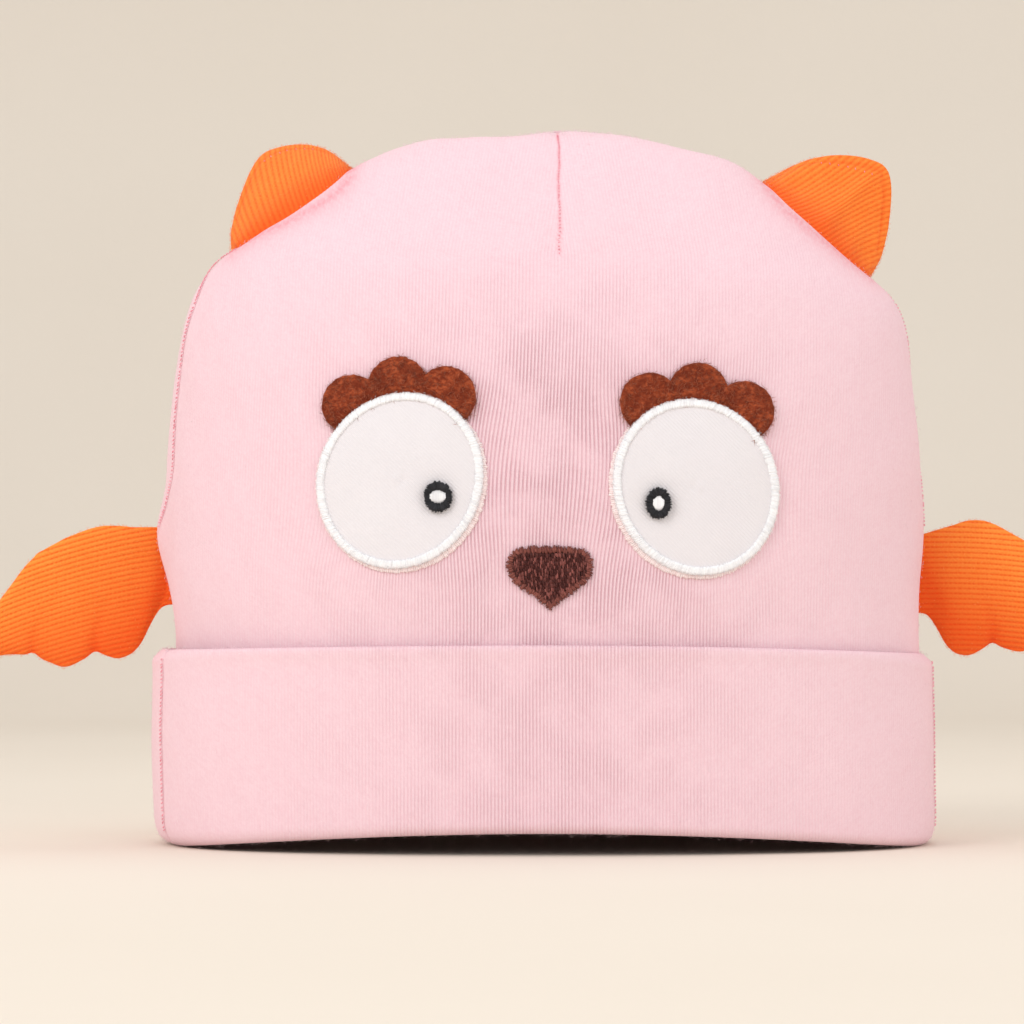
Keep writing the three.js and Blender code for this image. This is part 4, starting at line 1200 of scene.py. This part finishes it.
def make_pupil(eye, seed):
    centre = pupil_centre(eye)
    name = eye["name"]

    def base(x, z):
        return patch_lift(x, z, eye) + 0.15

    half, opening = np.array(eye["pupil"]), np.array(eye["opening"])
    outline = ellipse(*half, 0, 90)
    points, _, _ = evenly(outline, 0.16)
    width = np.sum((half - opening) * unit(points) ** 2, axis=1)
    ring, ground, normals = satin(
        f"pupil_{name}_ring", centre, outline, width, 0.16, 0.13, 0.6, BLACK, seed, base, 0.25, 0.1
    )
    edges = np.broadcast_to([1.0, 1.0, 0.5, 0.2, 0.2, 0.2, 0.2, 0.3, 0.1], ground.shape[:2])
    fuzz(
        f"pupil_{name}_fuzz", ground, normals, edges, 120, (0.2, 0.5), BLACK, "black_thread",
        seed + 6, 0.4, 0.03,
    )
    dress(ring, "black_thread", f"pupil_{name}")
    rng = np.random.default_rng(seed + 5)
    count = 12
    x = np.linspace(-0.95, 0.95, count) * opening[0]
    above = (opening[1] + 0.25) * (1 - 0.45 * np.abs(x / opening[0]) ** 1.4) + rng.uniform(-0.1, 0.1, count)
    below = opening[1] * np.sqrt(1 - (0.9 * x / opening[0]) ** 2)
    f = np.linspace(-1, 1, 7)
    fx = centre[0] + x[:, None] + 0 * f
    fz = centre[1] + np.where(f > 0, above[:, None], below[:, None]) * f
    lift = patch_lift(fx, fz, eye) + 0.2 + 0.35 * np.sqrt(np.clip(1 - f**2, 0, 1))
    paths = on_front(fx, fz, lift)
    middle = tubes(f"pupil_{name}_middle", paths, 0.15, WHITE, shade=rng.uniform(0.0, 1, count))
    dress(middle, "white_thread", f"pupil_centre_{name}")


def on_circle(centre, radius, angle):
    return centre + radius * np.array([math.cos(angle), math.sin(angle)])


def eye_radius(direction):
    angle = direction + math.radians(EYE_TILT)
    return 1 / math.hypot(math.cos(angle) / EYE_HALF_WIDTH, math.sin(angle) / EYE_HALF_HEIGHT)


def tip_angle(centre, top, turn):
    """Where a scallop's edge, followed from its top by the turn given, goes under the eye."""
    shown, hidden = 0.0, 1.0
    for _ in range(40):
        middle = (shown + hidden) / 2
        point = on_circle(centre, BROW_SCALLOP, top + turn * middle)
        if np.hypot(*point) > eye_radius(math.atan2(point[1], point[0])) - 0.8:
            shown = middle
        else:
            hidden = middle
    return top + turn * shown


def brow_edge(steps=26):
    """The edge of the left brow about its eye's centre: one arc a scallop, from the outer tip inwards."""
    tops = [math.radians(a) for a in BROW_ANGLES]
    centres = [on_circle(np.zeros(2), BROW_REACH * eye_radius(t), t) for t in tops]
    valleys = []
    for first, second in zip(centres, centres[1:]):
        apart = second - first
        spread = math.acos(np.hypot(*apart) / (2 * BROW_SCALLOP))
        heading = math.atan2(apart[1], apart[0])
        valleys.append((heading + spread, heading + math.pi - spread))
    edge = []
    last = len(tops) - 1
    for k, (top, centre) in enumerate(zip(tops, centres)):
        start = tip_angle(centre, top, math.pi) if k == 0 else valleys[k - 1][1]
        end = tip_angle(centre, top, -math.pi) if k == last else valleys[k][0]
        sweep = (start - end) % (2 * math.pi)
        for t in np.linspace(0, 1, steps)[0 if k == 0 else 1 :]:
            edge.append(on_circle(centre, BROW_SCALLOP, start - sweep * t))
    return np.array(edge)


def make_brow(eye, seed):
    mirror = np.array([-eye["side"], 1])
    edge = brow_edge() * mirror
    centre = eye_centre(eye)
    radii = [eye_radius(math.atan2(p[1], p[0] * -eye["side"])) for p in edge]
    inner = unit(edge) * (np.array(radii)[:, None] - 1.2)
    rng = np.random.default_rng(seed)
    shares = np.concatenate([np.linspace(0, 0.9, 30), [0.94, 0.97, 0.99, 1.0, 1.0, 0.99, 0.0]])
    heights = np.concatenate([np.full(30, 1.0), [0.99, 0.95, 0.86, 0.66, 0.3, 0.05, 0.05]])
    middle = np.linalg.norm(edge - inner, axis=1)
    wobble = rng.normal(0, 0.07, len(edge))
    rows = []
    for share, height in zip(shares, heights):
        reach = unit(edge) * ((0.3 + wobble) * share)[:, None]
        flat = inner + (edge - inner) * share + reach + centre
        x, z = flat[:, 0], flat[:, 1]
        bumps = 0.05 * np.sin(2.1 * x + 1.3 * z) + 0.05 * np.sin(1.1 * z - 2.6 * x)
        pressed = smoothstep(share * middle, 1.0, 2.6) * 0.75 + 0.25
        thick = BROW_THICKNESS * height * pressed + bumps * (height > 0.5)
        rows.append(on_front(x, z, 0.15 + thick))
    grid = np.array(rows)
    name = f"brow_{eye['name']}"
    faces, normals = face_out(grid_faces(*grid.shape[:2]), grid_normals(grid), OUT_FRONT)
    dress(new_object(f"{name}_felt", grid, faces, FELT), "felt", name)
    shown = np.broadcast_to((heights > 0.6)[:, None], grid.shape[:2])
    fuzz(f"{name}_fibres", grid, normals, shown, 1800, (0.6, 2.0), FIBRE_FELT, "felt", seed + 3, 0.08, 0.04)
    edges = np.broadcast_to((bell(shares - 1, 0.03) * (heights < 0.9))[:, None], grid.shape[:2])
    fuzz(f"{name}_edge", grid, normals, edges, 300, (0.3, 0.7), FIBRE_FELT, "felt", seed + 4, 0.3, 0.03)


def beak_outline(inset=0.0):
    half = BEAK_OUTLINE * [BEAK_HALF_WIDTH, BEAK_HEIGHT] - [0, BEAK_MIDDLE * BEAK_HEIGHT]
    right = spline(half, np.linspace(0, len(half) - 1, 90))
    outline = np.vstack([right, (right * [-1, 1])[::-1][1:-1]])
    if inset:
        outline = outline * (1 - inset / np.linalg.norm(outline, axis=1, keepdims=True))
    return outline


def make_beak():
    centre = np.array([BEAK_ASIDE, BEAK_UP + BEAK_MIDDLE * BEAK_HEIGHT])
    border, _, _ = satin(
        "beak_border_satin", centre, beak_outline(), 1.35, 0.2, 0.13, 0.65, BROWN, 71, 0.3, 0.45, 0.1
    )
    dress(border, "brown_thread", "beak_border")
    rng = np.random.default_rng(72)
    inside = beak_outline(1.3)
    paths = []
    for x in np.arange(-BEAK_HALF_WIDTH + 1.0, BEAK_HALF_WIDTH - 0.9, 0.3):
        near = inside[np.abs(inside[:, 0] - x) < 0.35]
        if len(near) < 2:
            continue
        low, high = near[:, 1].min(), near[:, 1].max()
        z = high
        length = rng.uniform(0.3, 1.2)
        while z > low + 0.3:
            end = max(z - length, low)
            f = np.linspace(0, 1, 7)
            across = x + centre[0] + rng.normal(0, 0.05) + 0.08 * (f - 0.5)
            up = centre[1] + z + (end - z - 0.25) * f
            above = 0.55 + 0.32 * np.sqrt(np.clip(1 - (2 * f - 1) ** 2, 0, 1))
            paths.append(np.stack([across, up, above], -1))
            z = end
            length = rng.uniform(0.55, 1.0)
    paths = np.array(paths)
    lifted = on_front(paths[..., 0], paths[..., 1], paths[..., 2])
    # Painted glints: a few fill threads take the light pink end of the thread's range.
    shade = rng.uniform(0, 1, len(paths)) ** 3
    fill = tubes("beak_fill_threads", lifted, 0.17, DARK, sides=5, shade=shade)
    dress(fill, "dark_thread", "beak_fill")
    ground = beak_outline(1.0)
    rings = np.linspace(0, 1, 8)
    flat = ground[None] * rings[:, None, None] + centre
    grid = on_front(flat[..., 0], flat[..., 1], 0.45)
    faces = grid_faces(8, len(ground), wrap_columns=True)
    faces, _ = face_out(faces, grid_normals(grid), OUT_FRONT)
    obj = new_object("beak_ground", grid, faces, DARK, shade=np.zeros(grid.shape[:2]))
    dress(obj, "dark_thread")


# Floor, light and camera


def make_stage():
    shader = Shader("studio_paper", 0.9, 0.2)
    place = shader.place()
    tone = shader.mix(shader.noise(place, 0.004, 3.0), rgb(232, 221, 207), rgb(238, 228, 215))
    paper = shader.finish(tone, shader.noise(place, 0.6, 3.0), 0.05)
    bend = np.linspace(0, np.pi / 2, 24)
    depth = np.concatenate([[-9000, -600, 600], 900 + 700 * np.sin(bend), [1600]])
    height = np.concatenate([[0, 0, 0], 700 - 700 * np.cos(bend), [3500]])
    width = np.array([-9000.0, -1000.0, 1000.0, 9000.0])
    grid = np.stack(
        [
            np.broadcast_to(width, (len(depth), 4)),
            np.broadcast_to(depth[:, None], (len(depth), 4)),
            np.broadcast_to(height[:, None], (len(depth), 4)),
        ],
        -1,
    )
    floor = new_object("studio_floor", grid, grid_faces(len(depth), 4), paper)


def make_light(name, place, aim, size, energy):
    light = bpy.data.lights.new(name, "AREA")
    light.shape = "DISK"
    light.size = size
    light.energy = energy
    obj = bpy.data.objects.new(name, light)
    obj.location = place
    obj.rotation_euler = (Vector(aim) - Vector(place)).to_track_quat("-Z", "Y").to_euler()
    scene.collection.objects.link(obj)


def make_studio():
    make_stage()
    aim = (0, 0, 0.07)
    make_light("key", (-0.8, -0.95, 0.8), aim, 0.9, 6.6)
    make_light("fill", (0.9, -1.3, 0.3), aim, 1.2, 5.0)
    make_light("left", (-1.2, -0.1, 0.35), aim, 0.8, 1.3)
    make_light("right", (1.2, -0.1, 0.35), aim, 0.8, 1.2)
    make_light("top", (0.1, 0.25, 1.1), aim, 0.9, 2.6)
    world = bpy.data.worlds.new("studio")
    world.use_nodes = True
    world.node_tree.nodes["Background"].inputs[0].default_value = (0.98, 0.99, 1.0, 1)
    world.node_tree.nodes["Background"].inputs[1].default_value = 0.76
    scene.world = world
    camera = bpy.data.cameras.new("camera")
    camera.lens, camera.sensor_width = 149.77, 36
    camera.clip_start, camera.clip_end = 0.05, 20
    obj = bpy.data.objects.new("camera", camera)
    obj.location = (-0.00676, -0.9, 0.05)
    obj.rotation_euler = (math.radians(90 + 1.25), 0, 0)
    scene.collection.objects.link(obj)
    scene.camera = obj
    scene.view_settings.view_transform = "Standard"


make_studio()
for ear in EARS:
    make_ear(ear)
for wing in WINGS:
    make_wing(wing)
for number, eye in enumerate(EYES):
    make_eye_patch(eye)
    make_eye_border(eye, 11 + 10 * number)
    make_pupil(eye, 31 + 10 * number)
    make_brow(eye, 51 + 10 * number)
make_beak()
body_panel("hat_front", "front_panel", True)
body_panel("hat_back", "back_panel", False)
